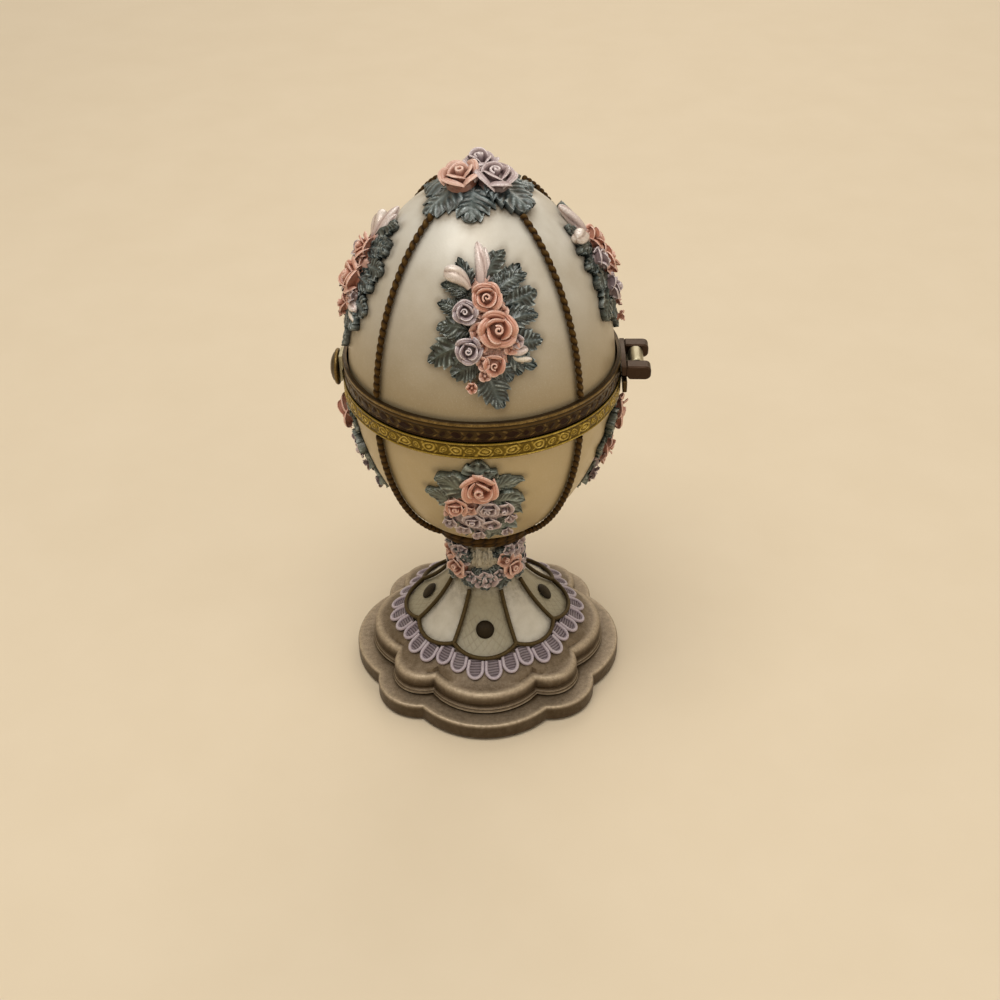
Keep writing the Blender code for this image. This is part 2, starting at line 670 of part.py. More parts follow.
def make_studs(mats):
    """Domed stud in the middle of each wide cell."""
    profile = [(0.0, 0.0), (STUD_R, 0.0), (STUD_R * 0.97, STUD_T * 0.4), (STUD_R * 0.66, STUD_T * 0.85),
               (0.0, STUD_T)]
    stud = lathe("foot_stud_front", profile, 12)
    stud_at = STUD_AT_SHARE * CELL_R
    seat = flare_point(stud_at, 0, SEAT)
    normal = (flare_point(stud_at, 0, 1 * MM) - seat).normalized()
    stud.data.transform(Matrix.Translation(seat) @ normal.to_track_quat("Z", "Y").to_matrix().to_4x4())
    finish(stud, mats["bronze"])
    repeat_round("foot_stud", stud, mats["bronze"])


def repeat_round(stem, first, mat, parent=None):
    """Copies of a front piece at the right, the back and the left, on its mesh."""
    for side, turn in SIDES.items():
        if side != "front":
            copy = bpy.data.objects.new(f"{stem}_{side}", first.data)
            bpy.context.collection.objects.link(copy)
            finish(copy, mat, parent, turn)


def make_lace(mats):
    """Band of loops that hangs out from the scalloped edge over the tier."""
    bulge = (-LACE_DIP, -LACE_DIP / 6, 0.0, -LACE_DIP / 6)
    steps = len(bulge)
    lift = SEAT / cos(atan2(CONE_SLOPE, 1))
    inner_edge, crest, rim = [], [], []
    for k in range(LACE_LOOPS * steps):
        a = 2 * pi * k / (LACE_LOOPS * steps)
        inner = cell_radius(a) + 2 * SEAT
        outer = cell_radius(a) + LACE_REACH + bulge[k % steps]
        inner_edge.append(circle_point(inner, a, cone_z(inner) + lift))
        crest.append(circle_point(outer - LACE_T, a, cone_z(outer - LACE_T) + lift + LACE_T))
        rim.append(circle_point(outer, a, cone_z(outer) + lift))
    finish(loft("lace_trim", [inner_edge, crest, rim], closed=True), mats["lace"])


# Cords of the egg

def egg_path(azimuth, rise, z_from, z_to, lift, steps):
    """Path up a meridian of the egg, lifted off the shell."""
    path = []
    first = asin((z_from - SEAM_Z) / rise)
    last = asin((z_to - SEAM_Z) / rise)
    for k in range(steps + 1):
        a = first + (last - first) * k / steps
        normal = Vector((cos(a) / EGG_R, sin(a) / rise)).normalized()
        radius = EGG_R * cos(a) + lift * normal.x
        path.append(circle_point(radius, azimuth, SEAM_Z + rise * sin(a) + lift * normal.y))
    return path


def make_cords(mats, pivot):
    """Four strands on the lid, four ribs on the bowl and the cord round the bowl's foot."""
    strand_top = SEAM_Z + LID_RISE * sqrt(1 - (STRAND_TOP_R / EGG_R) ** 2)
    for side, turn in STRAND_AZIMUTHS.items():
        path = egg_path(radians(turn), LID_RISE, LID_BAND_TOP + 2 * SEAT + STRAND_R, strand_top,
                        SEAT + STRAND_R, 10)
        strand = tube(f"lid_strand_{side}", path, [STRAND_R] * len(path), 4)
        finish(strand, mats["bronze"], pivot)
    ring_r = BOWL_FOOT_R + SEAT + CORD_RING_OUT * CORD_RING_R
    ring_z = BOWL_FOOT_Z - CORD_RING_R
    section = [(ring_r + CORD_RING_R * cos(radians(72 * k)), ring_z + CORD_RING_R * sin(radians(72 * k)))
               for k in range(5)]
    finish(lathe("bowl_cord_ring", section, SHELL_SEGS, closed=True), mats["bronze"])
    rib_low = BOWL_FOOT_Z + CORD_RING_R + RIB_R
    for side, turn in STRAND_AZIMUTHS.items():
        path = egg_path(radians(turn), BOWL_DROP, BOWL_BAND_LOW - 2 * SEAT - RIB_R, rib_low,
                        SEAT + RIB_R, 8)
        rib = tube(f"bowl_rib_{side}", path, [RIB_R] * len(path), 4)
        finish(rib, mats["bronze"])


# Flowers and leaves

class Panel:
    """Lays pieces on the lid or the bowl, about an anchor.

    A place is an azimuth in degrees and a height as a share of the shell's own rise; the rise
    is negative on the bowl. Flat x runs to the right and y up.
    """

    def __init__(self, rise, azimuth, share):
        self.rise = rise
        self.middle = Vector((0, 0, SEAM_Z))
        self.anchor = self.surface(azimuth, share)
        self.normal = self.surface_normal(self.anchor)
        self.right = Vector((cos(radians(azimuth)), sin(radians(azimuth)), 0))
        self.up = self.normal.cross(self.right)

    def surface(self, azimuth, share):
        radius = EGG_R * sqrt(1 - share ** 2)
        return circle_point(radius, radians(azimuth), SEAM_Z + share * self.rise)

    def surface_normal(self, point):
        return Vector((point.x / EGG_R ** 2, point.y / EGG_R ** 2,
                       (point.z - SEAM_Z) / self.rise ** 2)).normalized()

    def flat(self, azimuth, share):
        """Flat coordinates of a place."""
        ray = self.surface(azimuth, share) - self.middle
        scale = (self.anchor - self.middle).dot(self.normal) / ray.dot(self.normal)
        offset = self.middle + ray * scale - self.anchor
        return offset.dot(self.right), offset.dot(self.up)

    def wrap(self, x, y, height):
        """Point at a height above the surface, from flat coordinates."""
        ray = self.anchor + x * self.right + y * self.up - self.middle
        scale = 1 / sqrt((ray.x ** 2 + ray.y ** 2) / EGG_R ** 2 + (ray.z / self.rise) ** 2)
        point = self.middle + ray * scale
        return point + height * self.surface_normal(point)


def leaf_point(angle, along, across):
    """Flat point beside a leaf's middle line."""
    return along * cos(angle) - across * sin(angle), along * sin(angle) + across * cos(angle)


def leaf_bed(name, panel, tips):
    """Star of pointed leaves about the panel's anchor; each leaf has a raised midrib."""
    leaves = []
    for tip in tips:
        x, y = panel.flat(*tip)
        leaves.append((atan2(y, x), sqrt(x ** 2 + y ** 2)))
    leaves.sort()
    rim, ribs = [], []
    for k, (angle, reach) in enumerate(leaves):
        angle_before, reach_before = leaves[k - 1]
        angle_after = leaves[(k + 1) % len(leaves)][0]
        half_before = (angle - angle_before) % (2 * pi) / 2
        half_after = (angle_after - angle) % (2 * pi) / 2
        shoulder = SHOULDER_SHARE * reach
        wide_before, wide_after = (min(LEAF_HALF_W, SHOULDER_FILL * shoulder * sin(min(half, pi / 4)))
                                   for half in (half_before, half_after))
        notch = NOTCH_SHARE * min(reach, reach_before)
        rim += [leaf_point(angle - half_before, notch, 0), leaf_point(angle, shoulder, -wide_before),
                leaf_point(angle, reach, 0), leaf_point(angle, shoulder, wide_after)]
        ribs.append(leaf_point(angle, RIB_SHARE * reach, 0))
    bm = bmesh.new()
    edge = [bm.verts.new(panel.wrap(x, y, LEAF_EDGE_H)) for x, y in rim]
    for height in (LEAF_RIB_H, LEAF_BACK_H):
        hub = bm.verts.new(panel.wrap(0, 0, height))
        for k, (x, y) in enumerate(ribs):
            rib = bm.verts.new(panel.wrap(x, y, height))
            leaf = [edge[(4 * k + n) % len(edge)] for n in range(5)]
            for first, second in zip(leaf, leaf[1:]):
                bm.faces.new((rib, first, second))
            bm.faces.new((hub, leaf[0], rib))
            bm.faces.new((hub, rib, leaf[4]))
    return to_object(name, bm)


def rose(centre, normal, radius, height, petals):
    """Open rose with an outer and an inner whorl; a petal has one point at its tip and one beside it."""
    turn = normal.to_track_quat("Z", "Y").to_matrix()
    rings = []
    for level, (share, lift) in enumerate(ROSE_ROWS):
        ring = []
        for k in range(2 * petals):
            a = pi * k / petals
            wave = PETAL_WAVE if (k + level) % 2 else -PETAL_WAVE
            reach = radius * share * (1 + wave)
            ring.append(centre + turn @ Vector((reach * cos(a), reach * sin(a), lift * height)))
        rings.append(ring)
    return loft("rose", rings)


def bud(panel, base, tip, radius):
    """Pointed bud that lies on the surface from base to tip."""
    x0, y0 = panel.flat(*base)
    x1, y1 = panel.flat(*tip)
    shares = ((0.0, 0.6), (0.5, 1.0), (1.0, 0.3))
    points = [panel.wrap(x0 + (x1 - x0) * s, y0 + (y1 - y0) * s, BUD_LIFT) for s, _ in shares]
    return tube("bud", points, [radius * size for _, size in shares], 4)


def make_spray(name, panel, tips, roses, buds, mat, parent):
    """Leaves, roses and buds cast in one piece, with a back that follows the egg."""
    spray = leaf_bed(f"{name}_front", panel, tips)
    for place, radius, height, petals in roses:
        point = panel.surface(*place)
        normal = panel.surface_normal(point)
        combine(spray, rose(point + ROSE_BASE_H * normal, normal, radius, height, petals), "UNION")
    for base, tip, radius in buds:
        combine(spray, bud(panel, base, tip, radius), "UNION")
    finish(spray, mat, parent)
    repeat_round(name, spray, mat, parent)


def make_lid_sprays(mats, pivot):
    tips = ((-10, 0.81), (18, 0.83), (27, 0.75), (32, 0.64), (29, 0.46), (23, 0.34), (9, 0.18),
            (-9, 0.33), (-20, 0.37), (-18, 0.52), (-18, 0.63))
    roses = (((9.5, 0.535), 4.2 * MM, 4.6 * MM, 5), ((5.5, 0.66), 3.3 * MM, 4.0 * MM, 4),
             ((-4.5, 0.60), 2.8 * MM, 3.6 * MM, 3), ((-3, 0.455), 3.2 * MM, 3.8 * MM, 4),
             ((7, 0.39), 2.6 * MM, 3.4 * MM, 3))
    buds = (((2.5, 0.71), (3, 0.85), 1.4 * MM), ((-4, 0.70), (-17, 0.745), 1.3 * MM),
            ((14, 0.41), (23, 0.43), 1.2 * MM))
    panel = Panel(LID_RISE, 3, 0.52)
    make_spray("lid_spray", panel, tips, roses, buds, mats["flowers"], pivot)


def make_bowl_sprays(mats):
    tips = ((0, 0.11), (19, 0.26), (20, 0.38), (14, 0.60), (4.5, 0.74), (-12, 0.62),
            (-23, 0.35), (-17, 0.22))
    roses = (((0, 0.28), 4.5 * MM, 4.6 * MM, 5), ((-10.5, 0.43), 2.6 * MM, 3.2 * MM, 3),
             ((-2, 0.53), 3.0 * MM, 3.2 * MM, 4))
    panel = Panel(-BOWL_DROP, 0, 0.42)
    make_spray("bowl_spray", panel, tips, roses, (), mats["flowers"], None)


def lid_top_z(radius):
    """Height of the lid's outer surface at a radius."""
    return SEAM_Z + LID_RISE * sqrt(1 - (radius / EGG_R) ** 2)


def make_crown(mats, pivot):
    """Ring of leaves over the top of the lid, and the three roses that sit on it."""
    steps = 4
    back_hub, back_rim, rim, hub = [], [], [], []
    outline = ((CROWN_NOTCH_R, LEAF_EDGE_H), (CROWN_SHOULDER_R, LEAF_EDGE_H),
               (CROWN_TIP_R, LEAF_RIB_H), (CROWN_SHOULDER_R, LEAF_EDGE_H))
    for k in range(CROWN_LEAVES * steps):
        a = CROWN_TURN + 2 * pi * (k - 2) / (CROWN_LEAVES * steps)
        radius, height = outline[k % steps]
        back_hub.append(circle_point(CROWN_HUB_R, a, lid_top_z(0) + SEAT))
        back_rim.append(circle_point(radius, a, lid_top_z(radius) + LEAF_BACK_H))
        rim.append(circle_point(radius, a, lid_top_z(radius) + height))
        hub.append(circle_point(CROWN_HUB_R, a, CROWN_Z))
    leaves = loft("crown_leaves", [back_hub, back_rim, rim, hub])
    finish(leaves, mats["leaves"], pivot)

    roses = None
    floor = CROWN_Z + SEAT
    for x, y, radius, height in CROWN_ROSES:
        lean = Vector((x * MM, y * MM, CROWN_LEAN)).normalized()
        base = Vector((x * MM, y * MM, floor)) - lean * MM
        piece = rose(base, lean, radius * MM, height * MM + MM, 4)
        if roses is None:
            roses = piece
            roses.name = "crown_roses"
        else:
            combine(roses, piece, "UNION")
    reach = CROWN_TIP_R
    below = box_object("below", (-reach, -reach, floor - reach), (reach, reach, floor))
    combine(roses, below, "DIFFERENCE")
    finish(roses, mats["flowers"], pivot)


def make_garland(mats):
    """Wreath of leaves round the neck: a big rose at each corner and a small one on each side."""
    low_z = NECK_Z + GARLAND_ABOVE_FLARE
    steps = 3
    count = GARLAND_UNITS * steps
    rows = ((0.0, 0.3), (0.4, 1.0), (1.0, 0.3))
    rings = []
    for height, swell in rows:
        ring = []
        for k in range(count):
            a = 2 * pi * k / count
            z = low_z + height * GARLAND_H
            ring.append(circle_point(neck_radius(z) + SEAT + swell * GARLAND_T, a, z))
        rings.append(ring)
    for z in (low_z + GARLAND_H, low_z):
        rings.append([circle_point(neck_radius(z) + SEAT, 2 * pi * k / count, z) for k in range(count)])
    wreath = loft("neck_garland", rings, closed=True)
    for k in range(GARLAND_UNITS):
        a = k * 2 * pi / GARLAND_UNITS
        share, radius, height, petals = GARLAND_BIG if k % 2 else GARLAND_SMALL
        z = low_z + share * GARLAND_H
        base_r = neck_radius(z) + SEAT + 0.4 * GARLAND_T
        piece = rose(circle_point(base_r, a, z), circle_point(1, a, 0), radius, height, petals)
        combine(wreath, piece, "UNION")
    finish(wreath, mats["flowers"])


def build():
    for obj in list(bpy.data.objects):
        bpy.data.objects.remove(obj)
    mats = make_materials()
    pivot = bpy.data.objects.new("lid_pivot", None)
    pivot.location = HINGE
    bpy.context.collection.objects.link(pivot)

    make_felt(mats)
    make_plate(mats)
    make_tier(mats)
    make_stem(mats)
    make_tracery(mats)
    make_studs(mats)
    make_lace(mats)
    make_garland(mats)
    make_bowl_shell(mats)
    make_bowl_lining(mats)
    make_bowl_ring(mats)
    make_lid_shell(mats, pivot)
    make_lid_lining(mats, pivot)
    make_lid_ring(mats, pivot)
    make_hinge(mats, pivot)
    make_latch(mats, pivot)
    make_cords(mats, pivot)
    make_lid_sprays(mats, pivot)
    make_bowl_sprays(mats)
    make_crown(mats, pivot)


build()
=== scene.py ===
"""Egg jewelry box: detailed pieces, painted finishes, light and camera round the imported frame.

Shapes are worked out in millimetres, and Skin.piece puts them into metres. The front faces -Y, and
azimuths count from the front towards +X.
"""

import bmesh
import bpy
import numpy as np
from mathutils import Matrix, Vector
from numpy import clip, cos, exp, linspace, maximum, pi, radians, sin, sqrt


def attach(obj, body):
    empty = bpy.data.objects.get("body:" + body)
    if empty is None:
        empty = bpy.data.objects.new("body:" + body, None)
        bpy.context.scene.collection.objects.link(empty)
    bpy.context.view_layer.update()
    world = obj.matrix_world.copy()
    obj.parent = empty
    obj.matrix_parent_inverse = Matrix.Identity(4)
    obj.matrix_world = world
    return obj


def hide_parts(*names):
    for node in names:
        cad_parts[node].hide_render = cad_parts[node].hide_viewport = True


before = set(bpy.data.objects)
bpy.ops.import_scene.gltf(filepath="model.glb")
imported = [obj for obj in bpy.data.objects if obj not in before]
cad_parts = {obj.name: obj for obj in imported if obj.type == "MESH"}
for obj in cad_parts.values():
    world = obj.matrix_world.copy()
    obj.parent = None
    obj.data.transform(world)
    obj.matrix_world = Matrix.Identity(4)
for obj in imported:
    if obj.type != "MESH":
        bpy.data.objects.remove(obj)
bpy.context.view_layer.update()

# Levels and radii of the frame that the detailed pieces keep to
SEAT = 0.3
EGG_R = 33.8
LID_RISE = 50.4
BOWL_DROP = 49.2
WALL = 3.0
BOWL_FLOOR = 3.2
LINING_T = 0.8
BOWL_FOOT_R = 13.2
SPIGOT_R = 5.5
SPIGOT_L = 7.0
FLANGE_T = 0.8
LIP_H = 1.0
PLATE_Z = 0.4
PLATE_R = 38.1
PLATE_NOTCH_R = 35.0
TIER_R = 32.9
TIER_NOTCH_R = 29.0
WIDE_LOBE_HALF = radians(29.5)
CONE_R = 28.7
CONE_TOP_R = 12.0
CONE_SLOPE = 0.6
CELL_R = 23.3
PETAL_R = 22.5
CELL_NOTCH_R = 20.6
CELL_HALF = radians(24.5)
FLARE_RADIUS = 35.3
NECK_R = 9.3
NECK_COVE = 31.0
NECK_L = 20.3
LACE_LOOPS = 32
HINGE_HALF_W = 7.2
EAR_T = 3.5
KNOB_R = 4.7
KNOB_T = 2.3
TIER_Z = PLATE_Z + 5.0 + SEAT
TIER_TOP = TIER_Z + 6.0
NECK_Z = TIER_TOP + 18.9
NECK_TOP = NECK_Z + NECK_L
NECK_TOP_R = BOWL_FOOT_R - 0.9
BOWL_FOOT_Z = NECK_TOP + SEAT
SEAM_Z = BOWL_FOOT_Z + BOWL_DROP * sqrt(1 - (BOWL_FOOT_R / EGG_R) ** 2)
LID_SEAM_Z = SEAM_Z + SEAT
BAND_IN_R = EGG_R + SEAT
LID_BAND_R = BAND_IN_R + 0.9
BOWL_BAND_R = LID_BAND_R + SEAT
SHELL_IN_R = EGG_R - WALL
LIP_IN_R = SHELL_IN_R + SEAT
LIP_OUT_R = LIP_IN_R + 0.8
LID_FLANGE_IN_R = LIP_OUT_R + 0.5
LID_RIM_Z = LID_SEAM_Z + FLANGE_T + SEAT
BOWL_RIM_Z = SEAM_Z - FLANGE_T - SEAT
LID_BAND_TOP = LID_SEAM_Z + 5.3
BOWL_BAND_LOW = SEAM_Z - 4.3
HINGE_X = LID_BAND_R + 4.0
HINGE_Z = SEAM_Z + 2.4
SIDES = {"front": 0, "right": 90, "back": 180, "left": 270}
CORNERS = {"front_right": 45, "back_right": 135, "back_left": 225, "front_left": 315}
LID_NODES = ("lid_", "crown_", "hinge_lid", "hinge_pin", "latch_knob")
BAND_REPEATS = 33
BACKDROP = (0.745, 0.605, 0.420, 1)

rng = np.random.default_rng(11)


# Mesh tools

def spot(radius, azimuth, z):
    """Points at azimuths counted from the front (-Y) towards +X; arrays may be mixed."""
    radius, azimuth, z = np.broadcast_arrays(radius, azimuth, z)
    return np.stack([radius * sin(azimuth), -radius * cos(azimuth), z], axis=-1)


def unit(vectors):
    return vectors / np.linalg.norm(vectors, axis=-1, keepdims=True)


def bump_at(value, centre, width):
    return exp(-((value - centre) / width) ** 2)


def beyond(value, start, width):
    """1 up to the start, and then a soft fall over the width."""
    return exp(-(clip(value - start, 0, None) / width) ** 2)


def full_turn(steps):
    return linspace(0, 2 * pi, steps, endpoint=False)


def polar(place, reach, angle, lift):
    """Points about a place: out by reach at an angle, and up by lift."""
    point, side, up, normal = place
    reach, angle, lift = np.broadcast_arrays(reach, angle, lift)
    return (point + (reach * cos(angle))[..., None] * side + (reach * sin(angle))[..., None] * up
            + lift[..., None] * normal)


def around(path, up, side, reach, angle):
    """Rings of points about a path; reach may vary along it and round it."""
    return (path[:, None] + (reach * cos(angle))[..., None] * up[:, None]
            + (reach * sin(angle))[..., None] * side[:, None])


def new_object(name, data):
    obj = bpy.data.objects.new(name, data)
    bpy.context.collection.objects.link(obj)
    return obj


class Skin:
    """Collects grids of points into one mesh. Each point has a wash_and_shade value (how much dark colour
    lies in it: painted shade in hollows, creases and on walls, partly real dark paint), a tone (which of the
    material's two colours it has) and a rim (how much light colour lies on it: painted highlight on crests
    and edges, partly real dry-brushed paint)."""

    def __init__(self):
        self.points, self.faces = [], []
        self.layers = {"wash_and_shade": [], "tone": [], "rim": []}
        self.count = 0

    def grid(self, rows, wash_and_shade=0.0, tone=0.0, rim=0.0, loop_u=False, loop_v=False):
        """Quads over a (nu, nv, 3) array; a looped direction joins its end to its start."""
        nu, nv = rows.shape[:2]
        index = np.arange(nu * nv).reshape(nu, nv) + self.count
        self.points.append(rows.reshape(-1, 3))
        for label, values in (("wash_and_shade", wash_and_shade), ("tone", tone), ("rim", rim)):
            self.layers[label].append(np.broadcast_to(values, (nu, nv)).reshape(-1))
        self.count += nu * nv
        wide = np.concatenate([index, index[:1]]) if loop_u else index
        wide = np.concatenate([wide, wide[:, :1]], axis=1) if loop_v else wide
        quads = np.stack([wide[:-1, :-1], wide[:-1, 1:], wide[1:, 1:], wide[1:, :-1]], axis=-1)
        self.faces += quads.reshape(-1, 4).tolist()
        return index

    def zip_cap(self, ring):
        """Closes a thin loop by joining each point to the one across from it."""
        ring = ring.tolist()
        half = len(ring) // 2
        for k in range(half - 1):
            self.faces.append([ring[k], ring[k + 1], ring[-k - 2], ring[-k - 1]])
        if len(ring) % 2:
            self.faces.append(ring[half - 1:half + 2])

    def skirt(self, top, low):
        """Joins the borders of two grids of the same size."""
        border = [np.concatenate([grid[:, 0], grid[-1, 1:], grid[-2::-1, -1], grid[0, -2:0:-1]]).tolist()
                  for grid in (top, low)]
        over, under = ([*line, line[0]] for line in border)
        for k in range(len(over) - 1):
            self.faces.append([over[k], over[k + 1], under[k + 1], under[k]])

    def tube(self, rows, wash_and_shade=0.0, tone=0.0, rim=0.0, closed=False):
        """Rings of points along a path; the ends of an open tube are capped."""
        index = self.grid(rows, wash_and_shade, tone, rim, loop_u=closed, loop_v=True)
        if not closed:
            self.faces += [index[0].tolist(), index[-1].tolist()]

    def piece(self, name, look, node, sharp=None, slot=None, turn=0.0):
        """Makes the object, in metres. It rides on the body of its CAD node and stands for it."""
        usual_slot, usual_sharp, mat = LOOKS[look]
        mesh = bpy.data.meshes.new(name)
        c, s = cos(radians(turn)), sin(radians(turn))
        points = np.concatenate(self.points) @ np.array([[c, s, 0], [-s, c, 0], [0, 0, 1]]) / 1000
        mesh.from_pydata(points, [], self.faces)
        for label, values in self.layers.items():
            layer = mesh.attributes.new(label, "FLOAT", "POINT")
            layer.data.foreach_set("value", clip(np.concatenate(values), 0, 1).astype(np.float32))
        bm = bmesh.new()
        bm.from_mesh(mesh)
        bmesh.ops.remove_doubles(bm, verts=bm.verts, dist=1e-7)
        bmesh.ops.recalc_face_normals(bm, faces=bm.faces)
        bm.to_mesh(mesh)
        bm.free()
        obj = new_object(name, mesh)
        mesh.materials.append(mat)
        mesh.shade_smooth()
        mesh.set_sharp_from_angle(angle=radians(sharp or usual_sharp))
        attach(obj, "lid" if node.startswith(LID_NODES) else "base")
        slot or usual_slot
        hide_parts(node)


def lathe(profile, segs):
    """Rows of points of (radius, height) points spun about Z."""
    return spot(profile[:, :1], full_turn(segs), profile[:, 1:])


# Materials

def add(tree, kind, inputs=None, **settings):
    """A node with its settings. An input gets a number, a colour or another node's output."""
    node = tree.nodes.new("ShaderNode" + kind)
    for label, value in settings.items():
        setattr(node, label, value)
    for label, value in (inputs or {}).items():
        put(tree, node.inputs[label], value)
    return node


def put(tree, socket, value):
    if isinstance(value, bpy.types.NodeSocket):
        tree.links.new(value, socket)
    elif socket.type == "RGBA" and len(value) == 3:
        socket.default_value = (*value, 1.0)
    else:
        socket.default_value = value


class Paint:
    """Lays the nodes of one material; the shader's plain numbers are set on its own sockets."""

    def __init__(self, name, roughness, **plain):
        self.mat = bpy.data.materials.new(name)
        self.mat.use_nodes = True
        self.tree = self.mat.node_tree
        self.shader = self.tree.nodes["Principled BSDF"]
        for label, value in {"Roughness": roughness, **plain}.items():
            self.shader.inputs[label.replace("_", " ")].default_value = value
        self.place = add(self.tree, "TexCoord").outputs["Object"]
        self.base = None

    def attribute(self, name):
        return add(self.tree, "Attribute", attribute_name=name).outputs["Fac"]

    def noise(self, scale, detail=4.0, rough=0.55, stretch=(1, 1, 1)):
        place = add(self.tree, "Mapping", {"Vector": self.place, "Scale": stretch}).outputs["Vector"]
        return add(self.tree, "TexNoise", {"Vector": place, "Scale": scale, "Detail": detail,
                                           "Roughness": rough}).outputs["Fac"]

    def spread(self, value, low, high, out_low=0.0, out_high=1.0):
        return add(self.tree, "MapRange", {"Value": value, "From Min": low, "From Max": high,
                                           "To Min": out_low, "To Max": out_high}).outputs["Result"]

    def cloud(self, scale, detail, rough, *ends, stretch=(1, 1, 1)):
        """Noise whose middle values are spread over the given ends."""
        return self.spread(self.noise(scale, detail, rough, stretch), *ends)

    def times(self, a, b):
        return add(self.tree, "Math", {0: a, 1: b}, operation="MULTIPLY").outputs["Value"]

    def mix(self, share, a, b):
        """Sets the base colour: a where the share is 0, and b where it is 1."""
        self.base = add(self.tree, "Mix", {0: share, 6: a, 7: b}, data_type="RGBA").outputs[2]

    def over(self, color, share, strength):
        """Lays a colour over the base."""
        self.mix(self.times(share, strength), self.base, color)

    def wash_and_shade_over(self, color, *cloud, strength=1.0):
        """Lays a dark colour where the wash_and_shade value is high, with uneven edges: painted shade in the
        hollows, partly real dark paint.
        """
        self.over(color, self.times(self.attribute("wash_and_shade"), self.cloud(*cloud)), strength)

    def finish(self, roughness, bump, depth):
        """Links the base colour, the roughness and a bump of a depth in mm."""
        put(self.tree, self.shader.inputs["Base Color"], self.base)
        put(self.tree, self.shader.inputs["Roughness"], roughness)
        relief = add(self.tree, "Bump", {"Strength": 1.0, "Distance": depth / 1000, "Height": bump})
        put(self.tree, self.shader.inputs["Normal"], relief.outputs["Normal"])
        return self.mat


def pearl_paint(name, upper, lower, low_z, high_z):
    """Pearl lacquer, painted darker and warmer downwards from the upper colour to the lower one as painted
    shade and a painted reflection of the warm floor, with darker colour in the corners: painted shade, partly
    real brown paint.
    """
    paint = Paint(name, 0.36, Coat_Weight=0.25, Coat_Roughness=0.32, Metallic=0.10)
    height = add(paint.tree, "SeparateXYZ", {"Vector": paint.place}).outputs["Z"]
    # painted shade and painted reflection of the warm floor: darker and warmer downwards
    paint.mix(paint.spread(height, low_z, high_z), lower, upper)
    paint.over(tuple(0.84 * c for c in lower), paint.cloud(90, 3, 0.55, 0.35, 0.7), 0.35)
    paint.over((0.88, 0.85, 0.79), paint.cloud(5200, 2, 0.55, 0.56, 0.72), 0.18)
    # painted shade beside the cords, at the rings and round the leaves, partly real brown paint
    paint.wash_and_shade_over((0.13, 0.085, 0.035), 700, 5, 0.7, 0.3, 0.75, 0.55, 1.25, strength=0.92)
    return paint.finish(paint.cloud(260, 4, 0.55, 0.3, 0.7, 0.32, 0.46), paint.noise(1500, 3), 0.025)


def cell_paint():
    """Foot: smooth pearl petals, and cream cells. A brown colour lies in their hatching, along their borders
    and up the neck under the bowl: painted shade, partly real brown paint in the hatching.
    """
    paint = Paint("cream_cells", 0.4, Coat_Weight=0.2, Coat_Roughness=0.3)
    tone = paint.attribute("tone")
    paint.mix(tone, (0.62, 0.57, 0.465), (0.335, 0.295, 0.195))
    paint.over((0.30, 0.25, 0.15), paint.cloud(300, 4, 0.55, 0.35, 0.7), 0.3)
    # painted shade in the hatching, at the cell borders and under the bowl
    paint.wash_and_shade_over((0.085, 0.056, 0.022), 800, 5, 0.7, 0.38, 0.68, 0.15, 1.2, strength=0.9)
    return paint.finish(paint.spread(tone, 0, 1, 0.3, 0.5), paint.noise(2400, 4, 0.65), 0.05)


def champagne_paint():
    """Satin metallic paint over cast resin, with a painted highlight on the top edges and painted shade on
    the walls and under the tier.
    """
    paint = Paint("champagne_satin", 0.44, Metallic=0.45, Coat_Weight=0.08, Coat_Roughness=0.45)
    paint.mix(paint.cloud(140, 5, 0.6, 0.3, 0.7), (0.120, 0.086, 0.052), (0.190, 0.142, 0.092))
    paint.over((0.33, 0.265, 0.190), paint.cloud(900, 4, 0.7, 0.42, 0.72, stretch=(1, 1, 0.25)), 0.55)
    paint.over((0.52, 0.43, 0.32), paint.cloud(5200, 2, 0.55, 0.5, 0.72), 0.4)
    paint.over((0.066, 0.044, 0.022), paint.cloud(420, 6, 0.75, 0.5, 0.72), 0.5)
    # painted highlight along the top edges
    paint.over((0.56, 0.46, 0.33), paint.attribute("rim"), paint.cloud(1100, 5, 0.7, 0.35, 0.7, 0.4, 1.15))
    # painted shade on the walls, under the tier and up the tier's slope
    paint.wash_and_shade_over((0.048, 0.026, 0.006), 600, 4, 0.55, 0.3, 0.7, 0.85, 1.1)
    return paint.finish(paint.cloud(800, 4, 0.55, 0.3, 0.7, 0.38, 0.54), paint.noise(2200, 5, 0.65), 0.08)


def two_tone(name, first, second, deep, bright, roughness, spots, metallic=0.0, coat=0.0, depth=0.04,
             gloss=0.5):
    """Painted or plated relief: two colours by tone and speckle, a light colour on edges and crests (painted
    highlight, partly real dry-brushed paint) and a dark colour in the hollows (painted shade, partly real
    dark paint).
    """
    paint = Paint(name, roughness, Metallic=metallic, Coat_Weight=coat, Coat_Roughness=0.25,
                  Specular_IOR_Level=gloss)
    paint.mix(paint.attribute("tone"), first, second)
    paint.over(spots, paint.cloud(500, 4, 0.6, 0.35, 0.7), 0.45)
    # bright: painted highlight on edges and crests, partly real dry-brushed paint
    paint.over(bright, paint.attribute("rim"), paint.cloud(2600, 5, 0.75, 0.40, 0.62, 0.15, 1.25))
    # deep: painted shade in the hollows, partly real dark paint
    paint.wash_and_shade_over(deep, 1500, 5, 0.7, 0.3, 0.75, 0.75, 1.15)
    rough = paint.cloud(900, 4, 0.55, 0.3, 0.7, roughness * 0.85, min(1.0, roughness * 1.2))
    return paint.finish(rough, paint.noise(2200, 4, 0.6), depth)


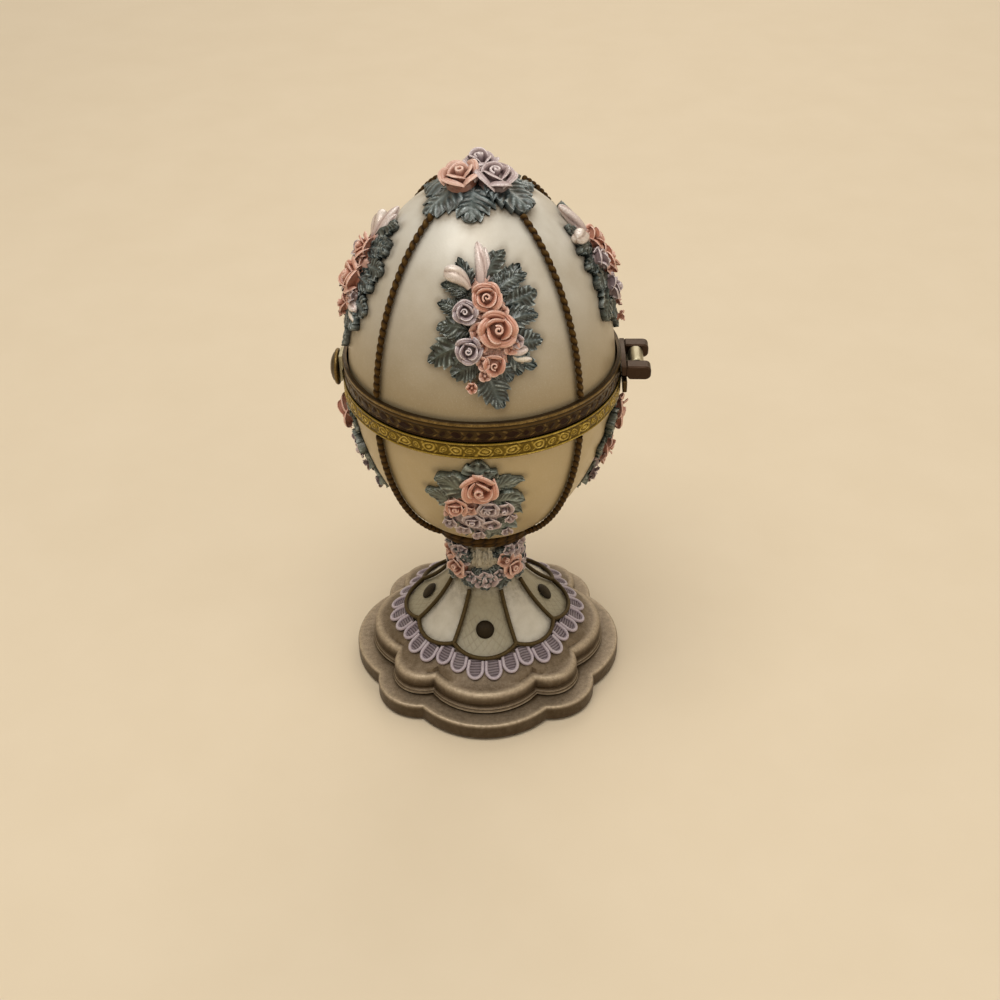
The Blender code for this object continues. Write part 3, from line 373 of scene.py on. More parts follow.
def fibre_paint(name, color, dark, scale):
    """Flock or felt: short fibres as two sizes of fine noise."""
    paint = Paint(name, 0.95, Sheen_Weight=0.35, Sheen_Roughness=0.5)
    fibre = paint.noise(scale, 6, 0.8)
    paint.mix(paint.spread(fibre, 0.35, 0.7), dark, color)
    paint.over(tuple(0.7 * c for c in color), paint.cloud(160, 4, 0.55, 0.3, 0.7), 0.3)
    return paint.finish(0.95, fibre, 0.25)


# Each look has its slot in the record, the angle at which its edges are sharp, and its material
LOOKS = {
    # The lid and the bowl have one pearl lacquer; its tan, darker lower colours are painted shade and a
    # painted reflection of the warm floor
    "lid": ("pearl_enamel", 60, pearl_paint("pearl_lid", (0.74, 0.73, 0.675), (0.345, 0.265, 0.148),
                                            0.104, 0.150)),
    "bowl": ("pearl_enamel", 60, pearl_paint("pearl_bowl", (0.50, 0.385, 0.205), (0.43, 0.33, 0.165),
                                             0.055, 0.095)),
    "cells": ("cream_enamel", 60, cell_paint()),
    "champagne": ("champagne_paint", 60, champagne_paint()),
    "bronze": ("antique_bronze", 80, two_tone(
        "bronze_cord", (0.044, 0.020, 0.002), (0.062, 0.030, 0.004), (0.005, 0.002, 0.001),
        (0.22, 0.13, 0.035), 0.50, (0.032, 0.014, 0.002), metallic=0.1, gloss=0.12)),
    "olive": ("antique_bronze", 80, two_tone(
        "olive_cord", (0.032, 0.019, 0.004), (0.052, 0.034, 0.010), (0.007, 0.004, 0.001),
        (0.14, 0.095, 0.035), 0.52, (0.028, 0.016, 0.003), metallic=0.1, gloss=0.15)),
    "lace": ("lilac_lace", 80, two_tone(
        "lilac_outline", (0.385, 0.31, 0.345), (0.44, 0.37, 0.39), (0.085, 0.050, 0.055),
        (0.64, 0.58, 0.59), 0.5, (0.31, 0.245, 0.275), coat=0.1)),
    "fill": ("lilac_lace", 80, two_tone(
        "purple_ribbing", (0.205, 0.160, 0.180), (0.26, 0.215, 0.225), (0.028, 0.016, 0.015),
        (0.31, 0.255, 0.275), 0.6, (0.095, 0.066, 0.070))),
    "petals": ("painted_flowers", 60, two_tone(
        "rose_paint", (0.60, 0.265, 0.172), (0.64, 0.40, 0.315), (0.17, 0.042, 0.018),
        (0.86, 0.62, 0.52), 0.34, (0.58, 0.29, 0.205), coat=0.4)),
    "lilac": ("painted_flowers", 60, two_tone(
        "lilac_petals", (0.36, 0.28, 0.30), (0.50, 0.36, 0.34), (0.080, 0.040, 0.036),
        (0.80, 0.71, 0.70), 0.34, (0.42, 0.33, 0.33), coat=0.4)),
    "buds": ("painted_flowers", 60, two_tone(
        "pearl_buds", (0.55, 0.42, 0.40), (0.62, 0.54, 0.40), (0.17, 0.085, 0.070),
        (0.90, 0.84, 0.80), 0.26, (0.60, 0.48, 0.43), metallic=0.1, coat=0.5)),
    "leaves": ("painted_leaves", 50, two_tone(
        "leaf_paint", (0.046, 0.070, 0.078), (0.024, 0.036, 0.020), (0.003, 0.005, 0.004),
        (0.50, 0.56, 0.54), 0.32, (0.075, 0.102, 0.100), metallic=0.1, coat=0.4)),
    "pale_leaves": ("painted_leaves", 50, two_tone(
        "pale_leaf_paint", (0.185, 0.215, 0.180), (0.100, 0.115, 0.078), (0.010, 0.013, 0.008),
        (0.50, 0.55, 0.49), 0.36, (0.155, 0.175, 0.145), metallic=0.05, coat=0.3)),
    "crown": ("painted_leaves", 50, two_tone(
        "blue_leaf_paint", (0.060, 0.090, 0.106), (0.040, 0.060, 0.050), (0.005, 0.008, 0.008),
        (0.52, 0.60, 0.61), 0.32, (0.095, 0.130, 0.142), metallic=0.12, coat=0.4)),
    "gold": ("yellow_brass", 40, two_tone(
        "yellow_brass", (0.31, 0.220, 0.036), (0.27, 0.19, 0.032), (0.032, 0.018, 0.003),
        (0.80, 0.64, 0.21), 0.27, (0.19, 0.130, 0.020), metallic=0.95, depth=0.03)),
    "ring": ("brown_brass", 40, two_tone(
        "brown_brass", (0.090, 0.053, 0.014), (0.024, 0.006, 0.003), (0.007, 0.003, 0.001),
        (0.36, 0.25, 0.09), 0.34, (0.052, 0.030, 0.009), metallic=0.8, depth=0.03)),
    "dark": ("dark_brass", 35, two_tone(
        "dark_brass", (0.048, 0.024, 0.011), (0.038, 0.020, 0.009), (0.010, 0.004, 0.002),
        (0.20, 0.12, 0.055), 0.38, (0.028, 0.014, 0.006), metallic=0.7, depth=0.03)),
    "steel": ("pin_steel", 35, two_tone(
        "worn_steel", (0.38, 0.355, 0.255), (0.26, 0.22, 0.12), (0.06, 0.04, 0.02),
        (0.70, 0.67, 0.58), 0.33, (0.24, 0.21, 0.14), metallic=0.95, depth=0.02)),
    "flock": ("flocked_lining", 60, fibre_paint("burgundy_flock", (0.30, 0.035, 0.060), (0.11, 0.010, 0.020),
                                                2600)),
    "felt": ("felt", 60, fibre_paint("green_felt", (0.035, 0.055, 0.040), (0.012, 0.020, 0.015), 1800)),
}


# Outlines of the foot

def from_lobe(azimuth):
    """Turn from the middle of the nearest wide lobe."""
    return (azimuth + pi / 4) % (pi / 2) - pi / 4


def lobe_radius(azimuth, outer, notch, half):
    """Radius of a lobed outline: arcs that meet in notches at +-half about each quarter."""
    turn = abs(from_lobe(azimuth))
    half_lobe = np.where(turn <= half, half, pi / 4 - half)
    off = np.where(turn <= half, turn, pi / 4 - turn)
    rise = outer - notch * cos(half_lobe)
    arc = ((notch * sin(half_lobe)) ** 2 + rise ** 2) / (2 * rise)
    return (outer - arc) * cos(off) + sqrt(arc ** 2 - ((outer - arc) * sin(off)) ** 2)


def lobed_azimuths(half, wide_steps, narrow_steps):
    wide = linspace(-half, half, wide_steps, endpoint=False)
    narrow = linspace(half, pi / 2 - half, narrow_steps, endpoint=False)
    return np.concatenate([quarter * pi / 2 + np.concatenate([wide, narrow]) for quarter in range(4)])


def in_wide_cell(azimuth):
    return abs(from_lobe(azimuth)) <= CELL_HALF + 1e-6


def cell_radius(azimuth):
    return lobe_radius(azimuth, np.where(in_wide_cell(azimuth), CELL_R, PETAL_R), CELL_NOTCH_R, CELL_HALF)


def cone_z(radius):
    return TIER_TOP + 0.5 + (CONE_R - radius) * CONE_SLOPE


def arc_centre(low, high, radius):
    """Centre of the hollow arc between two points given as (radius, height)."""
    run = np.subtract(high, low)
    span = np.hypot(*run)
    away = sqrt(radius ** 2 - (span / 2) ** 2)
    return np.add(low, high) / 2 + away * np.array((run[1], -run[0])) / span


FLARE_CENTRE = arc_centre((CELL_R, cone_z(CELL_R) + SEAT + 0.4), (NECK_R, NECK_Z), FLARE_RADIUS)
NECK_CENTRE = arc_centre((NECK_R, NECK_Z), (NECK_TOP_R, NECK_TOP), NECK_COVE)


def flare_z(radius):
    return FLARE_CENTRE[1] - sqrt(FLARE_RADIUS ** 2 - (radius - FLARE_CENTRE[0]) ** 2)


def flare_point(radius, azimuth, lift):
    """Points above the foot's flared surface, along its normal."""
    slope = (flare_z(radius + 0.1) - flare_z(radius - 0.1)) / 0.2
    length = sqrt(1 + slope ** 2)
    return spot(radius - lift * slope / length, azimuth, flare_z(radius) + lift / length)


def neck_radius(z):
    return NECK_CENTRE[0] - sqrt(NECK_COVE ** 2 - (z - NECK_CENTRE[1]) ** 2)


# Surfaces that flowers and leaves lie on

class Panel:
    """Lays pieces on the lid or the bowl about an anchor: flat x runs right and y up.

    A place is an azimuth in degrees and a height as a share of the shell's own signed rise.
    """

    def __init__(self, rise, azimuth, share):
        self.rise = rise
        self.middle = np.array((0, 0, SEAM_Z))
        self.anchor = self.surface(azimuth, share)
        self.normal = self.normal_at(self.anchor)
        self.right = np.array((cos(radians(azimuth)), sin(radians(azimuth)), 0))
        self.up = np.cross(self.normal, self.right)

    def surface(self, azimuth, share):
        return spot(EGG_R * sqrt(max(0.0, 1 - share ** 2)), radians(azimuth), SEAM_Z + share * self.rise)

    def normal_at(self, points):
        return unit((points - self.middle) / np.array((EGG_R ** 2, EGG_R ** 2, self.rise ** 2)))

    def flat(self, azimuth, share):
        ray = self.surface(azimuth, share) - self.middle
        scale = (self.anchor - self.middle) @ self.normal / (ray @ self.normal)
        offset = self.middle + ray * scale - self.anchor
        return np.array((offset @ self.right, offset @ self.up))

    def wrap(self, x, y, height):
        x, y, height = np.broadcast_arrays(x, y, height)
        ray = self.anchor + x[..., None] * self.right + y[..., None] * self.up - self.middle
        scale = 1 / sqrt((ray[..., 0] ** 2 + ray[..., 1] ** 2) / EGG_R ** 2 + (ray[..., 2] / self.rise) ** 2)
        points = self.middle + ray * scale[..., None]
        return points + height[..., None] * self.normal_at(points)

    def frame_at(self, azimuth, share):
        """A place's point with its two flat directions and its normal."""
        point = self.surface(azimuth, share)
        normal = self.normal_at(point)
        side = unit(self.right - (self.right @ normal) * normal)
        return point, side, np.cross(normal, side), normal


class Collar:
    """Lays pieces round the neck: flat x runs round it from an azimuth and y up from a height."""

    def __init__(self, azimuth, z):
        self.azimuth = azimuth
        self.z = z
        self.radius = neck_radius(z) + SEAT

    def wrap(self, x, y, height):
        z = self.z + y
        return spot(neck_radius(z) + SEAT + height, self.azimuth + x / self.radius, z)

    def frame(self):
        normal = spot(1, self.azimuth, 0)
        side = spot(1, self.azimuth + pi / 2, 0)
        return self.wrap(0.0, 0.0, 0.0), side, np.array((0, 0, 1.0)), normal


# Flowers and leaves

def wall(skin, place, reach, angle, lift, thick, tone):
    """Closed thick sheet that stands up along its rows, with a round crest at their ends that gets a painted
    highlight; the sheet is darker towards its foot as painted shade.
    """
    reach, angle, lift, thick = np.broadcast_arrays(reach, angle, lift, thick)
    v = linspace(0, 1, reach.shape[1])[None, :]
    end = np.s_[:, -1:]
    crest = [polar(place, (reach - share * thick)[end], angle[end], (lift + rise * thick)[end])
             for share, rise in ((0.12, 0.28), (0.5, 0.46), (0.88, 0.28))]
    inside = polar(place, maximum(reach - thick, 0.05), angle, lift)[:, ::-1]
    rows = np.concatenate([polar(place, reach, angle, lift), *crest, inside], axis=1)
    # painted shade low on the sheet, deepest on its inside
    wash_and_shade = np.hstack([clip(0.95 - 1.3 * v, 0, 1), [[0.0] * 3], clip(1.05 - 1.1 * v, 0, 1)[:, ::-1]])
    # painted highlight on the crest
    rim = np.hstack([clip(3 * v - 2.1, 0, 0.8), [[1.0, 1.0, 0.9]], clip(4 * v - 3.3, 0, 0.5)[:, ::-1]])
    index = skin.grid(rows, wash_and_shade, tone, rim, loop_v=True)
    skin.zip_cap(index[0])
    skin.zip_cap(index[-1])


def petal(skin, place, turn, half, radii, heights, curl, tone, fine=(13, 8)):
    """One cupped petal. It starts inside its left neighbour and ends outside the right."""
    bend = rng.uniform(-1, 1, 3)
    u = linspace(-1, 1, fine[0])[:, None]
    v = linspace(0, 1, fine[1])[None, :]
    angle = turn + u * half * (0.62 + 0.38 * sin(v * pi / 2))
    edge = 1 - 0.42 * abs(u + 0.15 * bend[0]) ** 2.4
    wave = 0.07 * radii[1] * sin(2.8 * u + 3 * bend[1]) * v ** 2
    lip = clip((v - 0.45) / 0.55, 0, 1) ** 1.7
    reach = radii[0] + (radii[1] - radii[0]) * sin(v * pi / 2) ** 1.2 + 0.07 * radii[1] * u + wave
    reach = reach + curl * lip * edge
    lift = heights[0] + (heights[1] - heights[0]) * edge * sin(clip(v * 1.15, 0, 1) * pi / 2)
    lift = lift - 0.8 * curl * lip ** 2 + wave * (0.8 + bend[2])
    thick = 0.17 * radii[1] * (1.0 - 0.15 * v) * (1 - 0.55 * abs(u) ** 3) + 0.06
    wall(skin, place, reach, angle, lift, thick, tone)


def dome(skin, place, radius, height, wash_and_shade, tone=0.0, rim=0.0, segs=14, rings=5, ripple=0.0):
    """Closed round mound on a surface."""
    t = linspace(0, 1, rings)[:, None] * 0.98
    angle = full_turn(segs)[None, :]
    lumps = 1 + ripple * sin(3 * angle + 9 * t) + 0.6 * ripple * sin(5 * angle - 7 * t)
    rows = polar(place, radius * cos(t * pi / 2) * lumps, angle, height * sin(t * pi / 2) * lumps)
    skin.tube(rows, wash_and_shade, tone, rim)


def raised(place, base):
    point, side, up, normal = place
    return point + base * normal, side, up, normal


def rose(skin, place, radius, height, tone, base=0.0, cup=0.5):
    """Open rose: a rolled heart in a deep hollow, with whorls of thick soft petals round it."""
    place = raised(place, base)
    first = rng.uniform(0, 2 * pi)
    # dark mound under the petals: painted shade in the gaps between them
    dome(skin, place, 0.80 * radius, 0.50 * height, wash_and_shade=0.8, tone=tone)
    w = linspace(0, 1, 32)[:, None]
    v = linspace(0, 1, 5)[None, :]
    large = radius > 2.75
    size = 0.21 if large else 0.27
    reach = radius * (0.13 + size * w) * (0.85 + 0.15 * v) * (1 + 0.10 * sin(5 * w + first))
    wall(skin, place, reach, first + w * 2 * pi * 1.2, height * (0.38 + (0.52 - 0.08 * w) * v),
         0.125 * radius, tone)
    whorls = [(4, 58, 0.52 + 0.06 * cup, 0.84, 0.0, 0.72, 0.17)]
    if large:
        whorls = [(3, 66, 0.40, 0.60, 0.15, 0.90, 0.07),
                  (5, 50, 0.58 + 0.04 * cup, 0.85, 0.0, 0.70 + 0.06 * cup, 0.17)]
    for count, half, inner, outer, low, high, curl in whorls:
        first += 0.9
        for k in range(count):
            wobble = rng.uniform(-1, 1, 3)
            petal(skin, place, first + 2 * pi * k / count + 0.2 * wobble[0], radians(half + 8 * wobble[1]),
                  (inner * radius, outer * radius), (low * height, high * height * (1 + 0.12 * wobble[2])),
                  curl * radius, tone + 0.2 * rng.uniform(-1, 1))


def blossom(skin, place, radius, height, tone, base):
    """Small open flower with five broad petals round a bead."""
    place = raised(place, base)
    first = rng.uniform(0, 2 * pi)
    # dark mound in the middle: painted shade
    dome(skin, place, 0.70 * radius, 0.40 * height, wash_and_shade=0.9, tone=tone, segs=12, rings=4)
    for k in range(5):
        petal(skin, place, first + 2 * pi * k / 5 + 0.1 * rng.uniform(-1, 1), radians(41),
              (0.20 * radius, 0.86 * radius), (0.10 * height, height * rng.uniform(0.62, 0.86)),
              0.12 * radius, tone + 0.2 * rng.uniform(-1, 1), (8, 7))
    # the bead gets a painted highlight
    dome(skin, place, 0.30 * radius, 0.80 * height, wash_and_shade=0.15, tone=tone, rim=0.4, segs=10, rings=4)


def leaf(skin, panel, base, tip, half_w, lift, tone, teeth=6, floor=0.12, bend=0.0, cut=0.40, point=0.72,
         fine=(56, 17)):
    """Toothed leaf with a midrib and side veins, cast solid down to what it lies on."""
    base, tip = np.array(base), np.array(tip)
    length = np.hypot(*(tip - base))
    along = (tip - base) / length
    s = linspace(0, 1, fine[0])[:, None]
    t = linspace(-1, 1, fine[1])[None, :]
    start = rng.uniform(0, 1, 6)
    saw = (teeth * s ** 0.9 + 0.5 * (t > 0) + start[0]) % 1.0
    fade = clip((1 - s) / 0.12, 0, 1) * clip(s / 0.15, 0, 1)
    width = half_w * s ** 0.55 * (1 - s) ** point / (0.74 - 0.44 * point) * (1 + cut * (saw - 0.5) * fade)
    width = width * (1 + 0.12 * sin(4 * s + 3 * t + 6 * start[1])) + 0.05
    sway = width * t + bend * length * sin(pi * s)
    run_out = length * s + 0.25 * half_w * abs(t) * saw * fade
    x = base[0] + along[0] * run_out - along[1] * sway
    y = base[1] + along[1] * run_out + along[0] * sway
    run = (teeth + 1 + 2 * start[3]) * s - (1.1 + 1.1 * start[1]) * abs(t) ** 0.8 + start[2]
    run = run + 0.45 * sin(5 * s + 6 * start[5]) + 0.3 * sin(3.3 * t + 6 * start[4])
    veins = 1 - 2 * abs(2 * (run % 1.0) - 1) ** 0.8
    rib = bump_at(t, 0, 0.09)
    side = clip(abs(t) * 4 - 0.2, 0, 1)
    rumple = sin(8 * s + 3 * t + 6 * start[4]) * cos(4 * t - 5 * s + 6 * start[2])
    height = lift * (1 - 0.25 * s) + (1.1 * start[3] - 0.65) * abs(t) ** 1.7
    height = height + 0.22 * rib + 0.16 * veins * side
    height = height + 0.30 * rumple + 0.15 * (saw - 0.5) * abs(t) ** 3 + 0.35 * clip((s - 0.75) / 0.25, 0, 1)
    # painted shade in the grooves and at the leaf's base, partly real dark paint
    wash_and_shade = clip(0.5 - 0.75 * veins - 0.5 * rumple, 0, 0.95) * side * (1 - rib)
    wash_and_shade = wash_and_shade + 0.8 * clip(0.3 - s, 0, 1) / 0.3
    # painted highlight and glints on veins, edges, midrib and tip, partly real dry-brushed paint
    edge = clip((abs(t) - 0.84) / 0.16, 0, 1)
    glint = clip(0.5 + 0.9 * sin(7 * s - 4 * t + 6 * start[0]), 0, 1)
    rim = clip(veins + 0.5 * rumple - 0.3, 0, 0.8) * side + 0.9 * edge + 0.35 * rib
    rim = (rim * (0.3 + 1.1 * glint) + 0.4 * clip((s - 0.88) / 0.12, 0, 1)) * (0.45 + 0.7 * start[1])
    top = skin.grid(panel.wrap(x, y, maximum(height, floor + 0.3)), clip(wash_and_shade - 0.3 * edge, 0, 0.95), tone,
                    rim * clip(s * 3, 0, 1))
    # the leaf's sides are dark: painted shade
    skin.skirt(top, skin.grid(panel.wrap(x, y, floor), 1.0, tone))


def bud(skin, panel, base, tip, radius, tone, blunt):
    """Closed bud of wrapped petals that lies on the surface from base to tip."""
    base, run = np.array(base), np.subtract(tip, base)
    s = linspace(0, 1, 40)
    grow, close = 0.28 + 0.7 * blunt ** 1.5, 0.55 - 0.15 * blunt
    peak = grow / (grow + close)
    size = (s / peak) ** grow * ((1 - s) / (1 - peak)) ** close
    size = radius * maximum(np.hypot(0.35 * (1 - s), size), 0.04)
    lift = radius * (0.85 + 0.25 * s)
    hook = 0.35 * radius * sin(pi * s) / np.hypot(*run)
    x = base[0] + run[0] * s + hook * run[1]
    y = base[1] + run[1] * s - hook * run[0]
    path = panel.wrap(x, y, lift)
    out = unit(path - panel.wrap(x, y, lift - 1))
    side = unit(np.cross(unit(np.gradient(path, axis=0)), out))
    a = full_turn(34)
    fold = abs(cos(1.5 * a[None, :] + 2.2 * s[:, None] + rng.uniform(0, pi))) ** 0.7
    # painted highlight on the folds near the tip, and painted shade between them
    rim = clip(s[:, None] * 1.6 - 0.3, 0, 1) * clip(2.2 * fold - 1.2, 0, 1)
    skin.tube(around(path, out, side, size[:, None] * (0.78 + 0.28 * fold), a), clip(0.95 - 2.4 * fold, 0, 1),
              tone, rim)


# Cords

def egg_path(azimuth, rise, z_from, z_to, lift, steps):
    """Points and surface normals up a meridian of the egg."""
    a = linspace(np.arcsin((z_from - SEAM_Z) / rise), np.arcsin((z_to - SEAM_Z) / rise), steps)
    normal = unit(np.stack([cos(a) / EGG_R, sin(a) / rise], axis=-1))
    path = spot(EGG_R * cos(a) + lift * normal[:, 0], azimuth, SEAM_Z + rise * sin(a) + lift * normal[:, 1])
    return path, spot(normal[:, 0], azimuth, normal[:, 1])


def sides_of(path, out, closed):
    """The two directions across a path, of which the second is nearest to out."""
    ahead = np.roll(path, -1, axis=0) - np.roll(path, 1, axis=0) if closed else np.gradient(path, axis=0)
    along = unit(ahead)
    side = unit(np.cross(along, out))
    return side, np.cross(side, along)


def rope(skin, path, out, radius, lay, depth, closed=False, highlight=0.6):
    """Cord of slanted oval beads, one at every lay along it."""
    side, up = sides_of(path, out, closed)
    steps = np.linalg.norm(np.diff(path, axis=0), axis=1)
    s = np.concatenate([[0.0], np.cumsum(steps)])
    if closed:
        total = s[-1] + np.linalg.norm(path[0] - path[-1])
        lay = total / round(total / lay)
    a = full_turn(16)
    bead = abs(sin(pi * s[:, None] / lay + 0.7 * sin(a)))
    ring = radius * (1 - depth + depth * bead ** 0.6)
    # painted shade between the beads, and a painted highlight on the outer crest of each bead
    skin.tube(around(path, up, side, ring, a), clip(1.0 - 1.7 * bead, 0, 1), bead,
              highlight * clip(bead - 0.8, 0, 1) / 0.2 * clip(cos(a), 0, 1) ** 3, closed)


def cord(skin, path, above, radius, tone, closed=False):
    """Smooth cord, darker underneath as painted shade and lighter on top as a painted highlight; above holds
    points over the path's own.
    """
    side, up = sides_of(path, above - path, closed)
    a = full_turn(16)
    rows = around(path, up, side, np.full((len(path), 1), radius), a)
    skin.tube(rows, clip(-0.1 - 0.9 * cos(a), 0, 1), tone, 0.5 * clip(cos(a), 0, 1) ** 3, closed)


# Foot pieces. A profile's rows are inset, height above the piece's foot, wash_and_shade (painted shade on the
# walls and under the tier) and rim (painted highlight on the top edges). The tier's slope has the share of
# the way up it and the painted shade there.

PLATE_PROFILE = ((6.0, 0.4, 1, 0), (3.4, 0.4, 1, 0), (3.4, 0, 1, 0), (0.5, 0, 1, 0), (0.05, 0.5, 1, 0),
                 (0, 1.2, 0.95, 0), (0.05, 2.2, 0.92, 0), (0, 3.8, 0.85, 0), (0.03, 4.25, 0.6, 0.1),
                 (0.15, 4.65, 0.2, 0.6), (0.42, 4.9, 0, 0.85), (0.8, 5.0, 0, 0.45), (1.6, 5.0, 0, 0.2),
                 (3.0, 4.97, 0, 0.1), (4.3, 4.98, 0.2, 0), (5.2, 5.0, 0.85, 0), (7.0, 5.0, 0.95, 0),
                 (12.0, 5.0, 0.5, 0))
TIER_PROFILE = ((3.0, 0, 1, 0), (0.2, 0, 1, 0), (-0.35, 0.12, 0.8, 0), (-0.55, 0.38, 0.1, 0.8),
                (-0.40, 0.68, 0.6, 0.1), (-0.05, 0.84, 1, 0), (-0.15, 0.98, 0.8, 0.2),
                (-0.22, 1.16, 0.1, 0.7), (-0.05, 1.38, 0.6, 0.1), (0.45, 1.52, 1, 0), (0.75, 1.85, 1, 0),
                (0.55, 2.2, 1, 0),
                (0.12, 2.5, 0.9, 0), (0, 3.0, 0.85, 0), (0, 3.9, 0.72, 0), (0.12, 4.7, 0.4, 0.1),
                (0.45, 5.35, 0.08, 0.6), (1.05, 5.78, 0, 0.75), (1.8, 6.0, 0, 0.3), (2.5, 6.08, 0.15, 0))
TIER_SLOPE_SHADE = ((0.0, 0.4), (0.12, 0.45), (0.3, 0.55), (0.6, 0.8), (1.0, 0.8))


def make_foot():
    azimuth = lobed_azimuths(WIDE_LOBE_HALF, 60, 36)
    for name, node, profile, foot_z, outer, notch, slope in (
            ("plate_lobed", "plinth_plate", PLATE_PROFILE, PLATE_Z, PLATE_R, PLATE_NOTCH_R, ()),
            ("tier_lobed", "plinth_tier", TIER_PROFILE, TIER_Z, TIER_R, TIER_NOTCH_R, TIER_SLOPE_SHADE)):
        edge = lobe_radius(azimuth, outer, notch, WIDE_LOBE_HALF)
        rows = [spot(edge - inset, azimuth, foot_z + z) for inset, z, _, _ in profile]
        start = np.minimum(CONE_R, edge - 2.7)
        for share, _ in slope:
            radius = start + (CONE_TOP_R - start) * share
            rows.append(spot(radius, azimuth, cone_z(radius)))
        wash_and_shade = [wash_and_shade for _, _, wash_and_shade, _ in profile] + [wash_and_shade for _, wash_and_shade in slope]
        rim = [rim for _, _, _, rim in profile] + [0.0] * len(slope)
        skin = Skin()
        skin.tube(np.stack(rows), np.reshape(wash_and_shade, (-1, 1)), 0.0, np.reshape(rim, (-1, 1)))
        skin.piece(name, "champagne", node)


def make_stem():
    """Flared foot: hatched cream cells with a pearl petal between each two, and the neck."""
    azimuth = lobed_azimuths(CELL_HALF, 100, 44)
    edge = cell_radius(azimuth)
    wide = in_wide_cell(azimuth)
    half = np.where(wide, CELL_HALF, pi / 4 - CELL_HALF)
    off = np.where(wide, from_lobe(azimuth), azimuth % (pi / 2) - pi / 4)
    side = 1 - abs(off) / half
    rings = [(spot(CONE_TOP_R + SEAT, azimuth, cone_z(CONE_TOP_R) + SEAT), 1.0, wide),
             (spot(edge - 0.3, azimuth, cone_z(edge) + SEAT), 1.0, wide)]
    for share in linspace(0, 1, 70):
        radius = edge + (NECK_R - edge) * share
        lines = 0.0
        for sense in (-1, 1):
            phase = (1.25 * 0.75 * (edge - radius) + sense * off * radius) / 2.1 + 0.25
            lines = maximum(lines, bump_at(phase % 1.0, 0.5, 0.075))
        fade = clip(side * 5 - 0.4, 0, 1) * clip(share * 7 - 0.35, 0, 1) * clip((0.8 - share) * 5, 0, 1)
        swell = 0.55 * sin(pi * clip(side, 0, 1) / 2) * clip(share * 5, 0, 1) * clip((1 - share) * 3, 0, 1)
        near = maximum(beyond(abs(abs(off) - half) * radius, 0.5, 0.8), beyond(edge - radius, 0.6, 0.9))
        # painted shade along the cell borders and where the flare meets the neck; the hatching lines get dark
        # colour too, partly real paint
        wash_and_shade = np.where(wide, 0.5 * lines * fade, 0) + 0.6 * near + 0.5 * bump_at(share, 1, 0.25)
        rings.append((flare_point(radius, azimuth, np.where(wide, -0.10 * lines * fade, swell)),
                      clip(wash_and_shade, 0, 1), 0.7 + (wide - 0.7) * clip((1 - share) * 8, 0, 1)))
    for share in linspace(0, 1, 25)[1:]:
        z = NECK_Z + NECK_L * share
        # the neck darkens towards the top: painted shadow under the bowl
        rings.append((spot(neck_radius(z), azimuth, z), clip(12 * share - 6.3, 0.25, 1), 0.7))
    for z in (NECK_TOP, BOWL_FOOT_Z - SPIGOT_L - SEAT):
        rings.append((spot(SPIGOT_R + SEAT, azimuth, z), 0.4, 0.7))
    rows, wash_and_shade, tone = zip(*[(points, w + 0 * azimuth, t + 0 * azimuth) for points, w, t in rings])
    skin = Skin()
    skin.tube(np.stack(rows), np.stack(wash_and_shade), np.stack(tone))
    skin.piece("flared_stem", "cells", "foot_stem")


def make_tracery():
    radius = 0.58
    azimuth = lobed_azimuths(CELL_HALF, 70, 36)
    skin = Skin()
    lines = [(cell_radius(azimuth) - 0.3, azimuth, True)]
    ridge = linspace(CELL_NOTCH_R - 0.2, NECK_R + 0.5, 50)
    lines += [(ridge, quarter * pi / 2 + sense * CELL_HALF, False)
              for quarter in range(4) for sense in (-1, 1)]
    for r, a, closed in lines:
        path, above = (flare_point(r, a, SEAT + radius + more) for more in (0, 1))
        cord(skin, path, above, radius, 0.9, closed)
    skin.piece("tracery_cord", "olive", "foot_tracery")


def make_studs():
    at = 0.7 * CELL_R
    seat = flare_point(at, 0.0, SEAT)
    normal = unit(flare_point(at, 0.0, 1) - seat)
    side = np.array((1.0, 0, 0))
    skin = Skin()
    # darker towards the base of the stud: painted shade, with a faint painted highlight on top
    dome(skin, (seat, side, np.cross(normal, side), normal), 2.55, 0.85, wash_and_shade=linspace(1.0, 0.5, 12)[:, None],
         rim=linspace(0, 0.1, 12)[:, None], segs=36, rings=12)
    for label, turn in SIDES.items():
        skin.piece(f"cell_stud_{label}", "olive", f"foot_stud_{label}", turn=turn)


